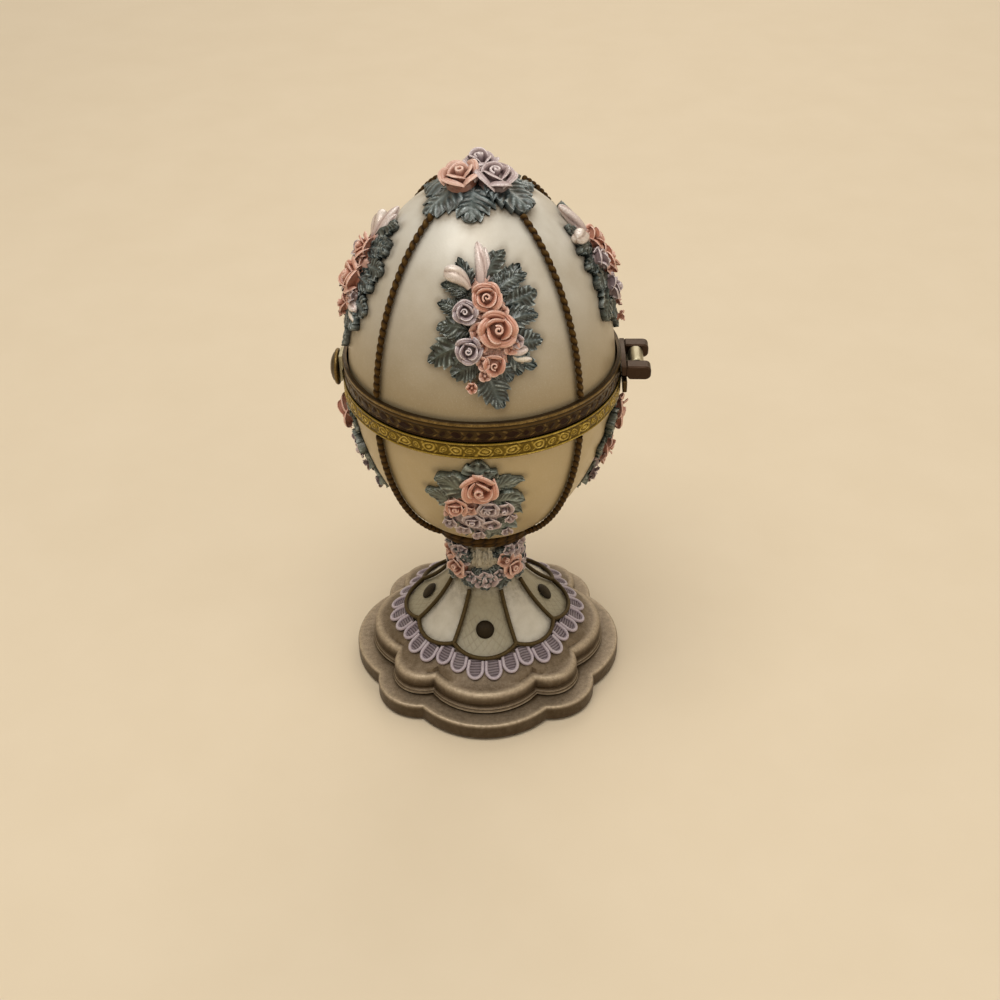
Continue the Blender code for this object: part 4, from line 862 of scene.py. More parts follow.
def make_lace():
    """Loops round a ribbed purple fill; their legs spread so that neighbours nearly touch."""
    outline, fill = Skin(), Skin()
    lift = SEAT * sqrt(1 + CONE_SLOPE ** 2)
    tube_r = 0.47
    gap = 0.9 * tube_r
    spread = pi / LACE_LOOPS * 0.97
    s = linspace(0, 1, 56)[:, None]
    t = linspace(-1, 1, 9)[None, :]
    arc = linspace(0, pi, 17)[1:-1]
    for k in range(LACE_LOOPS):
        a0 = 2 * pi * (k + 0.5) / LACE_LOOPS
        inner = cell_radius(a0) + 0.4
        tip = cell_radius(a0) + 5.1 - tube_r
        turn_r = (tip + gap) / (1 + spread)
        half = spread * turn_r - gap
        legs = linspace(inner, turn_r, 14)
        legs_half = spread * legs - gap
        x = np.concatenate([-legs_half, -half * cos(arc), legs_half[::-1]])
        r = np.concatenate([legs, turn_r + half * sin(arc), legs[::-1]])
        path = spot(r, a0 + x / r, cone_z(r) + lift + tube_r * 0.95)
        above = unit(np.array((sin(a0) * CONE_SLOPE, -cos(a0) * CONE_SLOPE, 1.0)))
        cord(outline, path, path + above, tube_r, 0.5 + 0.5 * rng.uniform(-1, 1))
        radius = inner - 0.3 + (tip - inner + 0.25) * s
        over = clip((radius - turn_r) / half, 0, 1)
        reach = np.where(radius < turn_r, spread * radius - gap, half * sqrt(clip(1 - over ** 2, 0.02, 1)))
        rib = abs(sin(pi * (radius - inner) / 0.66 + 0.5 * sin(2.2 * t + k)))
        angle = a0 + reach * t / radius
        ground = cone_z(radius) + lift
        # painted shade between the ribs and down the fill's sides, and a painted highlight on the rib crests
        top = fill.grid(spot(radius, angle, ground + 0.16 + 0.30 * rib - 0.10 * t ** 2),
                        clip(0.9 - 1.05 * rib, 0, 1), rng.uniform(0, 1), 0.5 * rib ** 4)
        fill.skirt(top, fill.grid(spot(radius, angle, ground), 1.0))
    outline.piece("lace_outlines", "lace", "lace_trim")
    fill.piece("lace_ribbing", "fill", "lace_trim")


# The wreath's places, in degrees from a corner and in mm up from the wreath's foot. A rose also has its
# radius and height, a blossom its radius, and a leaf its tip's offset to the side and up. The band's tips
# have a place round it and a height, and its rows a share of its height, a swell in mm and a
# wash_and_shade value: painted shade low on the band under the flowers and where it meets the neck.
GARLAND_ROSES = ((0, 5.6, 3.6, 3.2), (-14, 9.4, 2.6, 2.7))
GARLAND_BLOSSOMS = ((-37, 2.4, 2.4), (37, 2.2, 2.3), (-44, 3.9, 2.0), (22, 3.6, 1.9), (14, 9.2, 2.3),
                    (-23, 4.0, 2.0), (3, 11.2, 2.2), (-10, 12.8, 1.9), (13, 12.8, 1.8))
GARLAND_LEAVES = ((-33, 3.8, -2.4, 1.2), (38, 3.4, 2.6, 0.8), (28, 4.0, 2.0, 1.2), (-30, 4.8, 1.6, 2.4),
                  (-14, 2.6, -1.6, -3.0), (14, 2.6, 2.0, -2.6), (45, 1.6, 0.4, -2.2), (-20, 11.0, -0.4, 2.6),
                  (16, 9.4, 0.4, 3.0), (9, 8.6, 1.0, 3.6), (-6, 9.6, -1.4, 4.0), (45, 2.6, -2.8, 0.8),
                  (-26, 4.6, -3.0, -0.6), (27, 4.6, 3.0, -0.2))
GARLAND_TIPS = ((-44, 2.3), (-36, 3.3), (-27, 2.5), (-18, 2.9), (26, 2.7), (35, 3.5), (46, 2.2))
GARLAND_BAND = ((0.0, 0.0, 0.9), (0.03, 0.45, 0.9), (0.3, 0.85, 0.85), (0.5, 0.8, 0.5), (0.62, 0.6, 0.15),
                (0.85, 0.6, 0.1), (0.97, 0.7, 0.2), (1.03, 0.0, 0.8))


def make_garland():
    """Wreath round the neck: salmon roses at the corners, leaves and lilac flowers between."""
    low_z = NECK_Z + 1.0
    band_h = 10.0
    band, leaves, roses, flowers = Skin(), Skin(), Skin(), Skin()
    for corner in (pi / 4, 3 * pi / 4, 5 * pi / 4, 7 * pi / 4):
        for shift, z, to_x, to_y in GARLAND_LEAVES:
            collar = Collar(corner + radians(shift), low_z + z)
            leaf(leaves, collar, (-0.35 * to_x, -0.35 * to_y), (to_x, to_y), 1.8, rng.uniform(1.3, 2.0),
                 rng.uniform(0, 0.8), teeth=3, floor=0.02, fine=(40, 13))
        for shift, z, radius, height in GARLAND_ROSES:
            rose(roses, Collar(corner + radians(shift), low_z + z).frame(), radius, height,
                 rng.uniform(0.2, 0.7), base=0.35, cup=0.7)
        for shift, z, radius in GARLAND_BLOSSOMS:
            blossom(flowers, Collar(corner + radians(shift), low_z + z).frame(), radius, 2.2,
                    rng.uniform(0, 1), base=0.35)
        for shift, height in GARLAND_TIPS:
            point, side, up, normal = Collar(corner + radians(shift), low_z + band_h).frame()
            dome(band, (point, 1.15 * side, height * up, normal), 1.0, 1.35, wash_and_shade=0.1, tone=0.35, segs=18,
                 rings=6, ripple=0.16)
    turns = full_turn(160)
    rows = []
    for height, swell, _ in GARLAND_BAND:
        z = low_z + height * band_h + 0.35 * sin(36 * turns) * (height > 0.9)
        rows.append(spot(neck_radius(z) + SEAT + swell, turns, z))
    band.grid(np.stack(rows), np.array(GARLAND_BAND)[:, 2:], 0.6, loop_u=True, loop_v=True)
    for part, skin, look in (("band", band, "cells"), ("leaves", leaves, "leaves"),
                             ("roses", roses, "petals"), ("flowers", flowers, "lilac")):
        skin.piece(f"garland_{part}", look, "neck_garland", sharp=60)


# The sprays' places: an azimuth in degrees and a share of the shell's rise. A leaf has its tip's place,
# its base's place and its half width. A crown leaf has its azimuth and its reach in mm.
LID_LEAVES = ((-10.7, 0.80, -2.0, 0.71, 1.7), (-17.9, 0.70, -4.0, 0.67, 2.0), (-18.3, 0.63, -4.0, 0.60, 2.0),
              (-17.3, 0.53, -2.5, 0.53, 2.5), (-19.5, 0.38, -3.0, 0.48, 3.1), (-9.7, 0.335, 2.0, 0.41, 2.8),
              (10.0, 0.182, 4.5, 0.36, 3.4), (14.2, 0.31, 7.0, 0.40, 2.2), (18.5, 0.33, 9.0, 0.43, 2.4),
              (24.5, 0.355, 13.0, 0.45, 2.4), (29.3, 0.46, 12.0, 0.49, 2.9), (28.6, 0.57, 12.0, 0.55, 2.6),
              (31.2, 0.66, 12.0, 0.62, 2.6), (27.5, 0.73, 9.0, 0.67, 2.4), (25.7, 0.765, 6.0, 0.69, 2.1),
              (18.3, 0.82, 5.5, 0.72, 2.2), (15.0, 0.66, 4.0, 0.54, 3.4), (19.0, 0.50, 4.0, 0.52, 3.4),
              (12.0, 0.36, 4.0, 0.50, 3.4), (-5.0, 0.36, 4.0, 0.50, 3.2), (-11.0, 0.50, 4.0, 0.53, 3.2),
              (-9.0, 0.65, 4.0, 0.55, 3.2), (3.0, 0.76, 4.0, 0.58, 3.0))
BOWL_LEAVES = ((0.0, 0.108, 0.0, 0.25, 2.9), (-17.7, 0.216, -4.0, 0.30, 2.8), (-23.6, 0.333, -6.0, 0.39, 2.8),
               (7.5, 0.165, 2.0, 0.26, 1.9), (19.2, 0.249, 5.0, 0.29, 2.2), (19.9, 0.382, 6.0, 0.35, 2.4),
               (20.1, 0.49, 6.0, 0.43, 2.6), (19.0, 0.61, 5.0, 0.55, 2.9), (-18.7, 0.605, -6.0, 0.51, 2.4),
               (4.0, 0.72, 2.0, 0.58, 2.3), (-9.0, 0.70, -2.0, 0.57, 2.3), (12.0, 0.68, 4.0, 0.57, 2.2),
               (13.0, 0.38, 0.0, 0.40, 3.4), (8.0, 0.56, 0.0, 0.42, 3.4), (-7.0, 0.56, 0.0, 0.42, 3.4),
               (-13.0, 0.42, 0.0, 0.40, 3.2))
CROWN_LEAVES = ((-5, 13.9), (53, 14.1), (103, 12.8), (154, 14.2), (-154, 14.2), (-99, 12.4), (-51, 14.8))
# A spray's parts, in the order in which they are drawn. Its leaves come with the number of those that lie
# under the flowers, their teeth, how deep these cut and how pointed the tip is. All mounds share a radius,
# height, wash_and_shade (painted shade) and rim (painted highlight), and have a tone each. Whole roses have
# radius, height and tone. Small blossoms share a height and a base, and have radius and tone. A bud has base,
# tip, radius, tone and bluntness.
LID_SPRAY = {
    "panel": Panel(LID_RISE, 3, 0.52),
    "leaves": (LID_LEAVES, 7, 4, 0.40, 0.75),
    "looks": {"leaves": "leaves", "roses": "petals", "lilac": "lilac", "buds": "buds"},
    "mound": (2.6, 2.3, 0.25, 0.2),
    "mounds": (("roses", 8.0, 0.455, 0.8), ("roses", 4.6, 0.50, 0.8), ("roses", 4.2, 0.58, 0.8),
               ("roses", 6.2, 0.60, 0.8), ("roses", 10.5, 0.61, 0.8), ("roses", 5.2, 0.43, 0.8),
               ("roses", 13.0, 0.47, 0.8), ("roses", 3.2, 0.70, 0.8), ("roses", 10.0, 0.42, 0.8)),
    "rose_base": 0.8,
    "whole": (("roses", 9.3, 0.536, 4.4, 4.8, 0.0), ("roses", 5.3, 0.658, 3.5, 4.4, 0.1),
              ("roses", 7.3, 0.391, 2.6, 3.7, 0.2), ("lilac", -4.3, 0.605, 2.9, 3.9, 0.1),
              ("lilac", -2.6, 0.454, 3.2, 4.1, 0.0)),
    "blossom": (2.5, 1.3),
    "small": (("roses", 2.4, 0.61, 1.8, 0.9), ("roses", 1.2, 0.53, 2.2, 0.6),
              ("roses", 14.5, 0.46, 2.0, 0.5), ("roses", 3.0, 0.40, 1.7, 0.8),
              ("roses", -1.5, 0.293, 1.4, 0.3), ("lilac", 17.0, 0.48, 1.7, 0.8),
              ("roses", 11.2, 0.60, 1.9, 0.9), ("roses", 2.6, 0.475, 1.7, 0.3),
              ("roses", 9.5, 0.655, 1.6, 0.7), ("roses", 3.5, 0.345, 1.5, 0.9)),
    "buds": (((2.6, 0.69), (0.9, 0.851), 1.45, 0.1, 0.28), ((4.6, 0.70), (5.9, 0.835), 1.05, 0.0, 0.1),
             ((-3.0, 0.69), (-17.0, 0.748), 1.95, 0.5, 0.85), ((13.0, 0.455), (22.0, 0.437), 1.35, 0.1, 0.4),
             ((14.0, 0.42), (23.6, 0.387), 1.1, 1.0, 0.3)),
}
BOWL_SPRAY = {
    "panel": Panel(-BOWL_DROP, 0, 0.42),
    "leaves": (BOWL_LEAVES, 4, 2, 0.14, 1.0),
    "looks": {"leaves": "pale_leaves", "roses": "petals", "lilac": "lilac"},
    "mound": (3.0, 1.9, 0.4, 0.1),
    "mounds": (("roses", -6.0, 0.36, 0.5), ("roses", -3.5, 0.44, 0.8), ("lilac", 6.0, 0.48, 0.6),
               ("lilac", 1.0, 0.48, 0.9), ("lilac", 1.0, 0.60, 0.5), ("lilac", -8.0, 0.53, 0.8)),
    "rose_base": 0.7,
    "whole": (("roses", 0.6, 0.258, 4.6, 4.1, 0.0), ("roses", -9.8, 0.40, 3.0, 3.3, 0.1),
              ("lilac", 3.6, 0.415, 2.9, 3.0, 0.6), ("lilac", 10.8, 0.425, 2.6, 2.8, 0.9),
              ("lilac", -3.2, 0.51, 2.8, 2.9, 0.5), ("lilac", 5.0, 0.55, 2.6, 2.7, 0.8)),
    "blossom": (2.4, 1.0),
    "small": (("lilac", -14.5, 0.545, 2.0, 0.3), ("lilac", 13.4, 0.62, 1.7, 0.2),
              ("lilac", -8.5, 0.60, 2.2, 0.9), ("lilac", -1.0, 0.645, 2.0, 0.7),
              ("roses", -4.6, 0.425, 2.0, 0.6), ("lilac", 14.0, 0.50, 1.7, 1.0),
              ("roses", -13.5, 0.45, 1.6, 0.8)),
    "buds": (),
}


def make_sprays(shell, spray):
    """One spray, repeated on the four sides. The last leaves lie low, under the flowers."""
    panel = spray["panel"]
    skins = {part: Skin() for part in spray["looks"]}
    leaves, under, teeth, cut, point = spray["leaves"]
    for number, (tip_a, tip_s, base_a, base_s, half_w) in enumerate(leaves):
        low = number >= len(leaves) - under
        lift = 0.9 if low else 1.35 + 0.55 * (number % 2) + 0.2 * rng.uniform(-1, 1)
        tone = rng.uniform(0.6, 1.0) if tip_a < 0 else rng.uniform(0.0, 0.55)
        leaf(skins["leaves"], panel, panel.flat(base_a, base_s), panel.flat(tip_a, tip_s), half_w, lift, tone,
             teeth=teeth + number % 3, bend=0.11 * rng.uniform(-1, 1), cut=cut, point=point)
    radius, height, wash_and_shade, rim = spray["mound"]
    for part, azimuth, share, tone in spray["mounds"]:
        dome(skins[part], panel.frame_at(azimuth, share), radius, height, wash_and_shade=wash_and_shade, tone=tone, rim=rim,
             segs=22, rings=8, ripple=0.13)
    for part, azimuth, share, radius, height, tone in spray["whole"]:
        rose(skins[part], panel.frame_at(azimuth, share), radius, height, tone, base=spray["rose_base"])
    height, base = spray["blossom"]
    for part, azimuth, share, radius, tone in spray["small"]:
        blossom(skins[part], panel.frame_at(azimuth, share), radius, height, tone, base=base)
    for foot, tip, radius, tone, blunt in spray["buds"]:
        bud(skins["buds"], panel, panel.flat(*foot), panel.flat(*tip), radius, tone, blunt)
    for label, turn in SIDES.items():
        for part, look in spray["looks"].items():
            skins[part].piece(f"{shell}_{part}_{label}", look, f"{shell}_spray_{label}", turn=turn)


def make_crown():
    panel = Panel(LID_RISE, 0, 1.0)
    leaves, peach, lilac = Skin(), Skin(), Skin()
    for number, (turn, reach) in enumerate(CROWN_LEAVES):
        tip = panel.flat(turn, sqrt(1 - (reach / EGG_R) ** 2))
        leaf(leaves, panel, tip * 0.14, tip, 5.3, 1.25 + 0.45 * (number % 2), 0.7 * rng.uniform(0, 1),
             floor=0.3, bend=0.05 * rng.uniform(-1, 1), cut=0.34)
    top = (np.array((0, 0, SEAM_Z + LID_RISE + 0.1)), *np.eye(3))
    # dark disc under the crown's roses: painted shade
    dome(leaves, top, 6.6, 1.3, wash_and_shade=0.9, tone=0.3, segs=40, rings=8)
    for skin, x, y, radius, height, tone in (
            (peach, -3.7, -3.1, 4.7, 4.6, 0.8), (lilac, 3.8, -3.1, 4.9, 4.6, 0.6),
            (lilac, 0.3, 2.2, 4.3, 5.7, 0.2)):
        normal = unit(np.array((x, y - 1.5, 24.0)))
        side = unit(np.cross((0, 1.0, 0), normal))
        base = np.array((x, y, SEAM_Z + LID_RISE + 0.65))
        rose(skin, (base, side, np.cross(normal, side), normal), radius, height, tone, cup=1.6)
    leaves.piece("crown_foliage", "crown", "crown_leaves")
    peach.piece("crown_peach", "petals", "crown_roses")
    lilac.piece("crown_lilac", "lilac", "crown_roses")


# Egg

def ellipse_points(radius, rise, z_from, z_to, steps):
    first, last = (np.arcsin(clip((z - SEAM_Z) / rise, -1, 1)) for z in (z_from, z_to))
    a = linspace(first, last, steps)
    return np.stack([np.where(cos(a) > 1e-6, radius * cos(a), 0.0), SEAM_Z + rise * sin(a)], axis=-1)


def shell_wash_and_shade(points, leaves, rise, edge_z, crown):
    """Darkening beside the cords, at the rings, round the leaves and under the crown: painted shade where
    raised parts meet the shell, partly real brown paint.
    """
    azimuth = np.arctan2(points[:, 0], -points[:, 1])
    radius = np.hypot(points[:, 0], points[:, 1])
    local = from_lobe(azimuth)
    wash_and_shade = 0.60 * beyond(abs(azimuth % (pi / 2) - pi / 4) * radius, 0.5, 0.9)
    wash_and_shade = maximum(wash_and_shade, 0.12 * bump_at(points[:, 2], edge_z, 0.5))
    if crown:
        turn, reach = np.array(CROWN_LEAVES).T
        away = abs((azimuth[:, None] - radians(turn) + pi) % (2 * pi) - pi)
        wash_and_shade = maximum(wash_and_shade, 0.9 * beyond(radius, np.max(reach - 6.5 * away, axis=1), 1.7))
    share = (points[:, 2] - SEAM_Z) / rise
    for tip_a, tip_s, base_a, base_s, half_w in leaves:
        step = np.stack([(local - radians(base_a)) * radius, (share - base_s) * abs(rise)], axis=-1)
        way = np.array((radians(tip_a - base_a) * EGG_R * sqrt(1 - tip_s ** 2), (tip_s - base_s) * abs(rise)))
        t = clip(step @ way / (way @ way), 0, 1)
        gap = np.linalg.norm(step - t[:, None] * way, axis=1)
        wash_and_shade = maximum(wash_and_shade, 0.5 * beyond(gap, half_w * (1.0 - 0.75 * t ** 2), 0.9))
    return wash_and_shade


def make_shells():
    lid_in = LID_RISE - WALL
    drop = SEAM_Z - BOWL_FOOT_Z - BOWL_FLOOR
    spigot = [(0.0, BOWL_FOOT_Z - SPIGOT_L), (SPIGOT_R, BOWL_FOOT_Z - SPIGOT_L), (SPIGOT_R, BOWL_FOOT_Z)]
    for shell, outer, inner, leaves, rise, edge_z in (
            ("lid", ellipse_points(EGG_R, LID_RISE, LID_RIM_Z, SEAM_Z + LID_RISE, 120),
             ellipse_points(SHELL_IN_R, lid_in, SEAM_Z + lid_in, LID_RIM_Z, 24), LID_LEAVES, LID_RISE,
             LID_BAND_TOP),
            ("bowl", np.vstack([spigot, ellipse_points(EGG_R, BOWL_DROP, BOWL_FOOT_Z, BOWL_RIM_Z, 110)]),
             ellipse_points(SHELL_IN_R, drop, BOWL_RIM_Z, SEAM_Z - drop, 24), BOWL_LEAVES, -BOWL_DROP,
             BOWL_BAND_LOW)):
        rows = lathe(np.vstack([outer, inner]), 480)
        wash_and_shade = shell_wash_and_shade(rows.reshape(-1, 3), leaves, rise, edge_z, shell == "lid").reshape(rows.shape[:2])
        wash_and_shade[len(outer):] = 0.0
        skin = Skin()
        skin.grid(rows, wash_and_shade, loop_u=shell == "lid", loop_v=True)
        skin.piece(f"{shell}_pearl", shell, f"{shell}_shell")


def make_linings():
    out_r = SHELL_IN_R - SEAT
    for shell, sense, depth, rim in (("lid", 1, LID_RISE - WALL - SEAT, LID_RIM_Z),
                                     ("bowl", -1, SEAM_Z - BOWL_FOOT_Z - BOWL_FLOOR - SEAT, BOWL_RIM_Z)):
        rise = sense * depth
        in_rise = sense * (depth - LINING_T)
        outer = ellipse_points(out_r, rise, rim, SEAM_Z + rise, 40)
        inner = ellipse_points(out_r - LINING_T, in_rise, SEAM_Z + in_rise, rim, 40)
        bulge = (outer[0] + inner[-1]) / 2 - (0, sense * 0.2)
        skin = Skin()
        skin.grid(lathe(np.vstack([outer, inner, [bulge]]), 128), loop_u=True, loop_v=True)
        skin.piece(f"{shell}_flock", "flock", f"{shell}_lining")


def emboss_rows(z_low, z_high, base_r, relief, count):
    """Fine rows of a stamped band: relief(u, sway, h) in mm, u in pattern units and h up the band in mm.

    Slow waves shift the pattern in u and sway, and weaken it here and there, as a stamp dulled by long use
    does.
    """
    turns = full_turn(BAND_REPEATS * 40)
    z = linspace(z_low, z_high, count)
    h = (z - z_low)[:, None]
    drift = 0.030 * sin(23 * turns + 1.7 * h) + 0.022 * sin(57 * turns - 2.9 * h)
    u = (turns / (2 * pi) * BAND_REPEATS + drift) % 1.0
    sway = h + 0.09 * sin(41 * turns) + 0.06 * sin(76 * turns + 2.0)
    lift, wash_and_shade, tone = relief(u, sway, h)
    lift = lift * (0.85 + 0.15 * sin(29 * turns + 1.3 * h) * sin(47 * turns))
    # painted highlight on the raised relief
    rim = clip(1.6 * lift / lift.max() - 0.7, 0, 1) * (1 - tone)
    return spot(base_r + lift, turns, z[:, None]), wash_and_shade, tone, rim, turns


def knobs(u, sway, pitch, half_w, half_h, lean, rows):
    """Leaning oval knobs: two in each repeat of the pattern and in each of its rows."""
    for u0 in (0.0, 0.5):
        for h0, sense in rows:
            near = ((u - u0 + 0.5) % 1.0 - 0.5) * pitch
            off = ((sway - h0 + lean * sense * near) / half_h) ** 2
            yield clip(1 - (near / half_w) ** 2 - off, 0, 1) ** 0.5


def bowl_relief(u, sway, h):
    """Ovals and dots between two thin lines."""
    pitch = 2 * pi * 35.3 / BAND_REPEATS
    flat = np.zeros_like(u * h)
    lift = flat
    # painted shade in the ground and grooves round the ovals and beside the lines, partly real dark paint
    wash_and_shade = flat + 0.60
    for centre, half_w, half_h, deep in ((0.25, 1.30, 0.95, 0.26), (0.75, 0.80, 0.72, 0.22)):
        d = np.hypot((u - centre) * pitch / half_w, (sway - 2.15) / half_h)
        ring = bump_at(d, 1, 0.22)
        boss = clip(1 - (d / 0.62) ** 2, 0, 1) ** 0.5
        lift = maximum(lift, deep * maximum(ring, 0.95 * boss))
        groove = bump_at(d, 0.70, 0.12) + 0.9 * bump_at(d, 1.42, 0.18)
        wash_and_shade = maximum(wash_and_shade * (d > 1.25), groove) - 0.4 * ring
    for knob in knobs(u, sway, pitch, 0.52, 0.42, 0.8, ((1.15, -1), (3.15, 1))):
        lift = maximum(lift, 0.20 * knob)
        wash_and_shade = wash_and_shade * (1 - knob)
    for line, inner in ((0.30, 0.72), (4.0, 3.58)):
        lift = maximum(lift, 0.22 * bump_at(h, line, 0.20))
        wash_and_shade = wash_and_shade * (1 - bump_at(h, line, 0.22)) + 0.5 * bump_at(h, inner, 0.14)
    return lift, clip(wash_and_shade, 0, 1), flat


def lid_relief(u, sway, h):
    """Dark pads of two sizes along the lower half, and two smooth mouldings above them."""
    pitch = 2 * pi * 35.0 / BAND_REPEATS
    lift = tone = np.zeros_like(u * h)
    # painted shade round the pads, in the grooves and low on the band, partly real dark paint
    wash_and_shade = tone + 0.45 * (h < 3.1)
    for centre, half_w, half_h in ((0.25, 1.55, 0.98), (0.75, 0.75, 0.80)):
        d = (abs((u - centre) * pitch / half_w) ** 1.35 + abs((sway - 1.75) / half_h) ** 1.35) ** (1 / 1.35)
        lift = maximum(lift, 0.20 * clip((1.12 - d) / 0.30, 0, 1))
        tone = maximum(tone, clip((1.02 - d) / 0.12, 0, 1))
        wash_and_shade = maximum(wash_and_shade, 0.9 * bump_at(d, 1.25, 0.14))
    for knob in knobs(u, sway, pitch, 0.75, 0.34, 0.7, ((0.95, -1), (2.55, 1))):
        lift = maximum(lift, 0.22 * knob)
        wash_and_shade = wash_and_shade * (knob == 0)
    lift = maximum(lift, 0.14 * bump_at(h, 0.22, 0.22))
    tone = maximum(tone, 0.95 * (h < 0.50))
    for line, width, high in ((3.55, 0.42, 0.16), (4.62, 0.52, 0.30)):
        lift = maximum(lift, high * clip(1 - ((h - line) / width) ** 2, 0, 1) ** 0.5)
    for groove in (3.02, 4.08, 5.2):
        wash_and_shade = maximum(wash_and_shade, 0.98 * bump_at(h, groove, 0.18))
    return lift, clip(wash_and_shade, 0, 1), tone


def make_rings():
    """Stamped rings: a fine outer band, closed by the plain profile of its back."""
    flange_top = LID_SEAM_Z + FLANGE_T
    lid_back = ((BAND_IN_R, LID_BAND_TOP - 0.1), (BAND_IN_R, flange_top), (LID_FLANGE_IN_R + 0.1, flange_top),
                (LID_FLANGE_IN_R, flange_top - 0.15), (LID_FLANGE_IN_R, LID_SEAM_Z + 0.15),
                (LID_FLANGE_IN_R + 0.15, LID_SEAM_Z))
    lip_top = SEAM_Z + LIP_H
    flange_low = SEAM_Z - FLANGE_T
    bowl_back = ((LIP_OUT_R + 0.15, SEAM_Z), (LIP_OUT_R, SEAM_Z + 0.15), (LIP_OUT_R, lip_top - 0.2),
                 (LIP_OUT_R - 0.25, lip_top), (LIP_IN_R + 0.25, lip_top), (LIP_IN_R, lip_top - 0.2),
                 (LIP_IN_R, flange_low), (BAND_IN_R, flange_low), (BAND_IN_R, BOWL_BAND_LOW + 0.1))
    for shell, look, back, band in (
            ("lid", "ring", lid_back, (LID_SEAM_Z + 0.02, LID_BAND_TOP, LID_BAND_R - 0.1, lid_relief, 44)),
            ("bowl", "gold", bowl_back, (BOWL_BAND_LOW, SEAM_Z - 0.02, BOWL_BAND_R - 0.12, bowl_relief, 38))):
        rows, wash_and_shade, tone, rim, turns = emboss_rows(*band)
        plain = np.stack([spot(r, turns, z) for r, z in back])
        layers = [np.vstack([fine, np.full(plain.shape[:2], rest)]) for fine, rest in
                  ((wash_and_shade, 0.2), (tone, 0), (rim, 0))]
        skin = Skin()
        skin.grid(np.concatenate([rows, plain]), *layers, loop_u=True, loop_v=True)
        skin.piece(f"{shell}_band", look, f"{shell}_rim_ring")


def make_cords():
    strand_top = SEAM_Z + LID_RISE * sqrt(1 - (14.2 / EGG_R) ** 2)
    for label, turn in CORNERS.items():
        for name, node, rise, low, high, radius, depth in (
                ("strand", "lid_strand", LID_RISE, LID_BAND_TOP + 0.5, strand_top, 0.80, 0.50),
                ("rib", "bowl_rib", BOWL_DROP, BOWL_BAND_LOW - 0.6, BOWL_FOOT_Z + 1.9, 0.84, 0.34)):
            skin = Skin()
            path, out = egg_path(radians(turn), rise, low, high, SEAT + 0.62, 300)
            rope(skin, path, out, radius, 1.95, depth)
            skin.piece(f"{name}_{label}", "bronze", f"{node}_{label}")
    skin = Skin()
    turns = full_turn(460)
    ring_r = BOWL_FOOT_R + SEAT + 0.66
    for drop, inset in ((0.3, 0.0), (1.8, 0.4)):
        path = spot(ring_r - inset, turns, BOWL_FOOT_Z - drop)
        rope(skin, path, spot(1.0, turns, 0.0), 0.86, 3.0, 0.14, closed=True, highlight=0.1)
    skin.piece("foot_rope", "bronze", "bowl_cord_ring")


# Hinge and latch

def extruded(skin, outline, y_low, y_high, bevel, wash_and_shade):
    """Closed prism along Y from an outline in XZ, with its two end edges bevelled inwards."""
    outline = np.array(outline)
    middle = outline.mean(axis=0)
    shrunk = middle + (outline - middle) * (1 - bevel / abs(outline - middle).max(axis=0))
    rows = [np.stack([shape[:, 0], np.full(len(shape), y), shape[:, 1]], axis=-1)
            for y, shape in ((y_low, shrunk), (y_low + bevel, outline), (y_high - bevel, outline),
                             (y_high, shrunk))]
    skin.tube(np.stack(rows), wash_and_shade)


def arc_points(x, z, radius, start):
    """A quarter turn of an outline about a point, from an angle in degrees."""
    angles = radians(linspace(start, start + 90, 8))
    return [(x + radius * cos(a), z + radius * sin(a)) for a in angles]


def bar_rows(radius_out, half_l, edge, *inner):
    """Rings of a bar or barrel on the hinge's axis, with softened edges."""
    a = full_turn(48)
    profile = [(radius_out - edge, -half_l), (radius_out, edge - half_l), (radius_out, half_l - edge),
               (radius_out - edge, half_l), *inner]
    return np.stack([np.stack([HINGE_X + r * cos(a), np.full(48, y), HINGE_Z + r * sin(a)], axis=-1)
                     for r, y in profile])


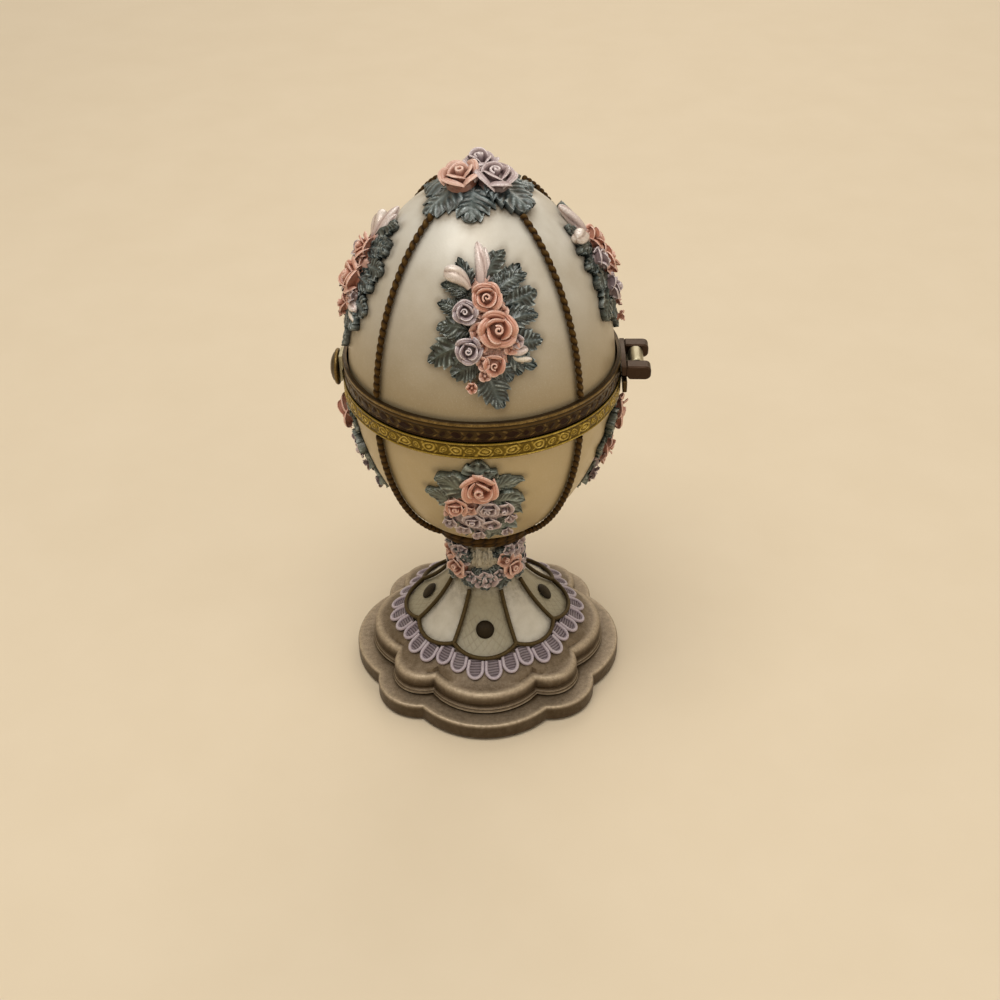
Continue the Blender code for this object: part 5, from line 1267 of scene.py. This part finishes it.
def make_hinge():
    left, right = HINGE_X - 2.4, HINGE_X + 3.4
    low, top = HINGE_Z - 1.9, HINGE_Z + 1.9
    ear = [(left - 0.6, top - 0.5), (left - 0.6, low + 0.8), *arc_points(left + 0.9, low + 0.9, 0.9, 180),
           *arc_points(right - 1.4, low + 1.4, 1.4, 270), *arc_points(right - 1.4, top - 1.4, 1.4, 0),
           (left, top)]
    skin = Skin()
    for y in (-HINGE_HALF_W, HINGE_HALF_W - EAR_T):
        extruded(skin, ear, y, y + EAR_T, 0.35, 0.15)
    strip = [(0.25, -2.6), (1.3, -2.6), (1.3, -0.2), (1.15, 0), (0, 0), (0, -1.0)]
    extruded(skin, [(LID_BAND_R + x, top + z) for x, z in strip], -HINGE_HALF_W, HINGE_HALF_W, 0.12, 0.1)
    skin.piece("hinge_ears", "dark", "hinge_lid_leaf")

    skin = Skin()
    skin.tube(bar_rows(0.75, HINGE_HALF_W + 0.02, 0.15))
    skin.piece("hinge_wire", "dark", "hinge_pin", slot="pin_steel")

    knuckle = HINGE_HALF_W - EAR_T - 0.4
    plate_top = low - 2 * SEAT
    plate_low = plate_top - 3.2
    back = BOWL_BAND_R + 0.2
    face = LID_BAND_R + 1.6
    skin = Skin()
    skin.grid(bar_rows(1.9, knuckle, 0.2, (1.05, knuckle), (1.05, -knuckle)), loop_u=True, loop_v=True)
    web_in = LID_BAND_R + 0.7
    web_low = plate_low + 1.0
    web = [(face - 0.1, plate_top - 0.4), (HINGE_X - 1.2, HINGE_Z - 1.35),
           (HINGE_X - 1.45, HINGE_Z - 0.2), (web_in, HINGE_Z - 0.9), (web_in, web_low),
           (face - 0.1, web_low)]
    extruded(skin, web, -knuckle, knuckle, 0.1, 0.2)
    skin.piece("hinge_barrel", "steel", "hinge_bowl_leaf")
    plate = [(back, plate_low), (face - 0.2, plate_low), (face, plate_low + 0.2), (face, plate_top - 0.2),
             (face - 0.2, plate_top), (back, plate_top)]
    skin = Skin()
    extruded(skin, plate, -HINGE_HALF_W, HINGE_HALF_W, 0.25, 0.3)
    skin.piece("hinge_plate", "ring", "hinge_bowl_leaf", sharp=35, slot="pin_steel")


def boss_rows(profile, x, z, radius, height, steps):
    """Rings of a round boss that stands out towards -X; the profile has shares of both sizes."""
    a = full_turn(steps)
    return np.stack([np.stack([np.full(steps, x - t * height), radius * r * cos(a), z + radius * r * sin(a)],
                              axis=-1) for r, t in profile])


def make_latch():
    profile = np.array(((0.0, 0.0, 0.3), (0.86, 0.0, 0.3), (0.97, 0.10, 0.2), (1.0, 0.22, 0.0),
                        (0.99, 0.34, 0.0), (0.93, 0.46, 0.3), (0.88, 0.47, 1.0), (0.83, 0.52, 0.6),
                        (0.74, 0.68, 0.1), (0.58, 0.82, 0.0), (0.36, 0.94, 0.0), (0.16, 0.99, 0.0),
                        (0.0, 1.0, 0.0)))
    face = -(BOWL_BAND_R + 1.2 * SEAT + 0.55)
    skin = Skin()
    rows = boss_rows(profile[:, :2], face, SEAM_Z - 0.1, KNOB_R, KNOB_T + 0.8 * SEAT, 64)
    # painted shade in the groove and at the foot of the knob, and a painted highlight on its outer edge
    skin.grid(rows, profile[:, 2:], 0.0, 0.5 * (profile[:, :1] > 0.9), loop_v=True)
    skin.piece("thumb_knob", "ring", "latch_knob", sharp=45)

    catch = ((0.0, 0.0), (1.0, 0.0), (1.0, 0.45), (0.85, 0.8), (0.5, 0.97), (0.0, 1.0))
    skin = Skin()
    skin.grid(boss_rows(catch, -(BOWL_BAND_R + SEAT * 0.6), LID_BAND_TOP - SEAT - 7.0, 0.8, 0.62, 32), 0.1,
              loop_v=True)
    skin.piece("catch_stud", "gold", "latch_catch", sharp=45)

    for node, look in (("latch_tongue", "steel"), ("base_felt", "felt")):
        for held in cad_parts[node].material_slots:
            held.material = LOOKS[look][2]


# Floor, light and camera

def fade_floor(tree, near, far):
    """Far from the object the camera sees the floor as bright as the backdrop, with no horizon."""
    place = add(tree, "NewGeometry").outputs["Position"]
    away = add(tree, "VectorMath", {0: place}, operation="LENGTH").outputs["Value"]
    ramp = add(tree, "MapRange", {"Value": away, "From Min": near, "From Max": far},
               interpolation_type="SMOOTHSTEP").outputs["Result"]
    seen = add(tree, "LightPath").outputs["Is Camera Ray"]
    share = add(tree, "Math", {0: ramp, 1: seen}, operation="MULTIPLY").outputs["Value"]
    glow = add(tree, "Emission", {"Color": BACKDROP}).outputs["Emission"]
    output = tree.nodes["Material Output"].inputs["Surface"]
    choose = add(tree, "MixShader", {"Fac": share, 1: output.links[0].from_socket, 2: glow})
    put(tree, output, choose.outputs["Shader"])


def make_stage():
    size = 6.0
    mesh = bpy.data.meshes.new("floor")
    corners = [(-size, -size, 0), (size, -size, 0), (size, size, 0), (-size, size, 0)]
    mesh.from_pydata(corners, [], [(0, 1, 2, 3)])
    floor = new_object("floor", mesh)
    paint = Paint("floor_paper", 0.9)
    paint.mix(paint.cloud(30, 3, 0.55, 0.3, 0.7), (0.75, 0.625, 0.445), (0.77, 0.645, 0.465))
    mesh.materials.append(paint.finish(0.9, paint.noise(900), 0.02))
    fade_floor(paint.tree, near=0.45, far=1.1)

    world = bpy.data.worlds.new("studio")
    world.use_nodes = True
    tree = world.node_tree
    lit = tree.nodes["Background"]
    put(tree, lit.inputs["Color"], (1.0, 0.955, 0.895))
    put(tree, lit.inputs["Strength"], 0.42)
    seen = add(tree, "Background", {"Color": BACKDROP, "Strength": 1.0}).outputs["Background"]
    rays = add(tree, "LightPath").outputs
    share = rays["Is Camera Ray"]
    for label in ("Is Glossy Ray", "Is Transmission Ray"):
        share = add(tree, "Math", {0: share, 1: rays[label]}, operation="MAXIMUM").outputs["Value"]
    choose = add(tree, "MixShader", {"Fac": share, 1: lit.outputs["Background"], 2: seen})
    put(tree, tree.nodes["World Output"].inputs["Surface"], choose.outputs["Shader"])
    bpy.context.scene.world = world

    for name, place, size, power, color in (
            ("key", (-0.12, -0.22, 1.05), 0.75, 6.2, (1.0, 0.97, 0.92)),
            ("fill", (0.75, -0.50, 0.55), 0.8, 1.4, (1.0, 0.94, 0.86)),
            ("back", (0.15, 0.80, 0.65), 0.7, 2.2, (1.0, 0.95, 0.88))):
        data = bpy.data.lights.new(name, "AREA")
        data.size = size
        data.energy = power
        data.color = color
        lamp = new_object(name, data)
        lamp.location = place
        aim = Vector((0, 0, 0.08)) - lamp.location
        lamp.rotation_euler = aim.to_track_quat("-Z", "Y").to_euler()


def make_camera():
    """The photograph's viewpoint: above the front, looking down at the seam's ellipse."""
    eye = (0.01356, -0.30419, 0.27997)
    pitch, roll, yaw = 0.638548, -0.0128924, radians(-1.782)
    forward = Vector((sin(yaw) * cos(pitch), cos(yaw) * cos(pitch), -sin(pitch)))
    right = Vector((cos(yaw), -sin(yaw), 0))
    up = right.cross(forward)
    turned_right = cos(roll) * right + sin(roll) * up
    turned_up = -sin(roll) * right + cos(roll) * up
    data = bpy.data.cameras.new("photo_camera")
    data.sensor_width = 36.0
    data.lens = 49.956
    data.clip_start = 0.01
    camera = new_object("photo_camera", data)
    axes = Matrix((turned_right, turned_up, -forward)).transposed().to_4x4()
    camera.matrix_world = Matrix.Translation(eye) @ axes
    bpy.context.scene.camera = camera
    bpy.context.scene.view_settings.view_transform = "Standard"


make_camera()
make_stage()
make_foot()
make_stem()
make_tracery()
make_studs()
make_lace()
make_garland()
make_shells()
make_linings()
make_rings()
make_cords()
make_sprays("lid", LID_SPRAY)
make_sprays("bowl", BOWL_SPRAY)
make_crown()
make_hinge()
make_latch()
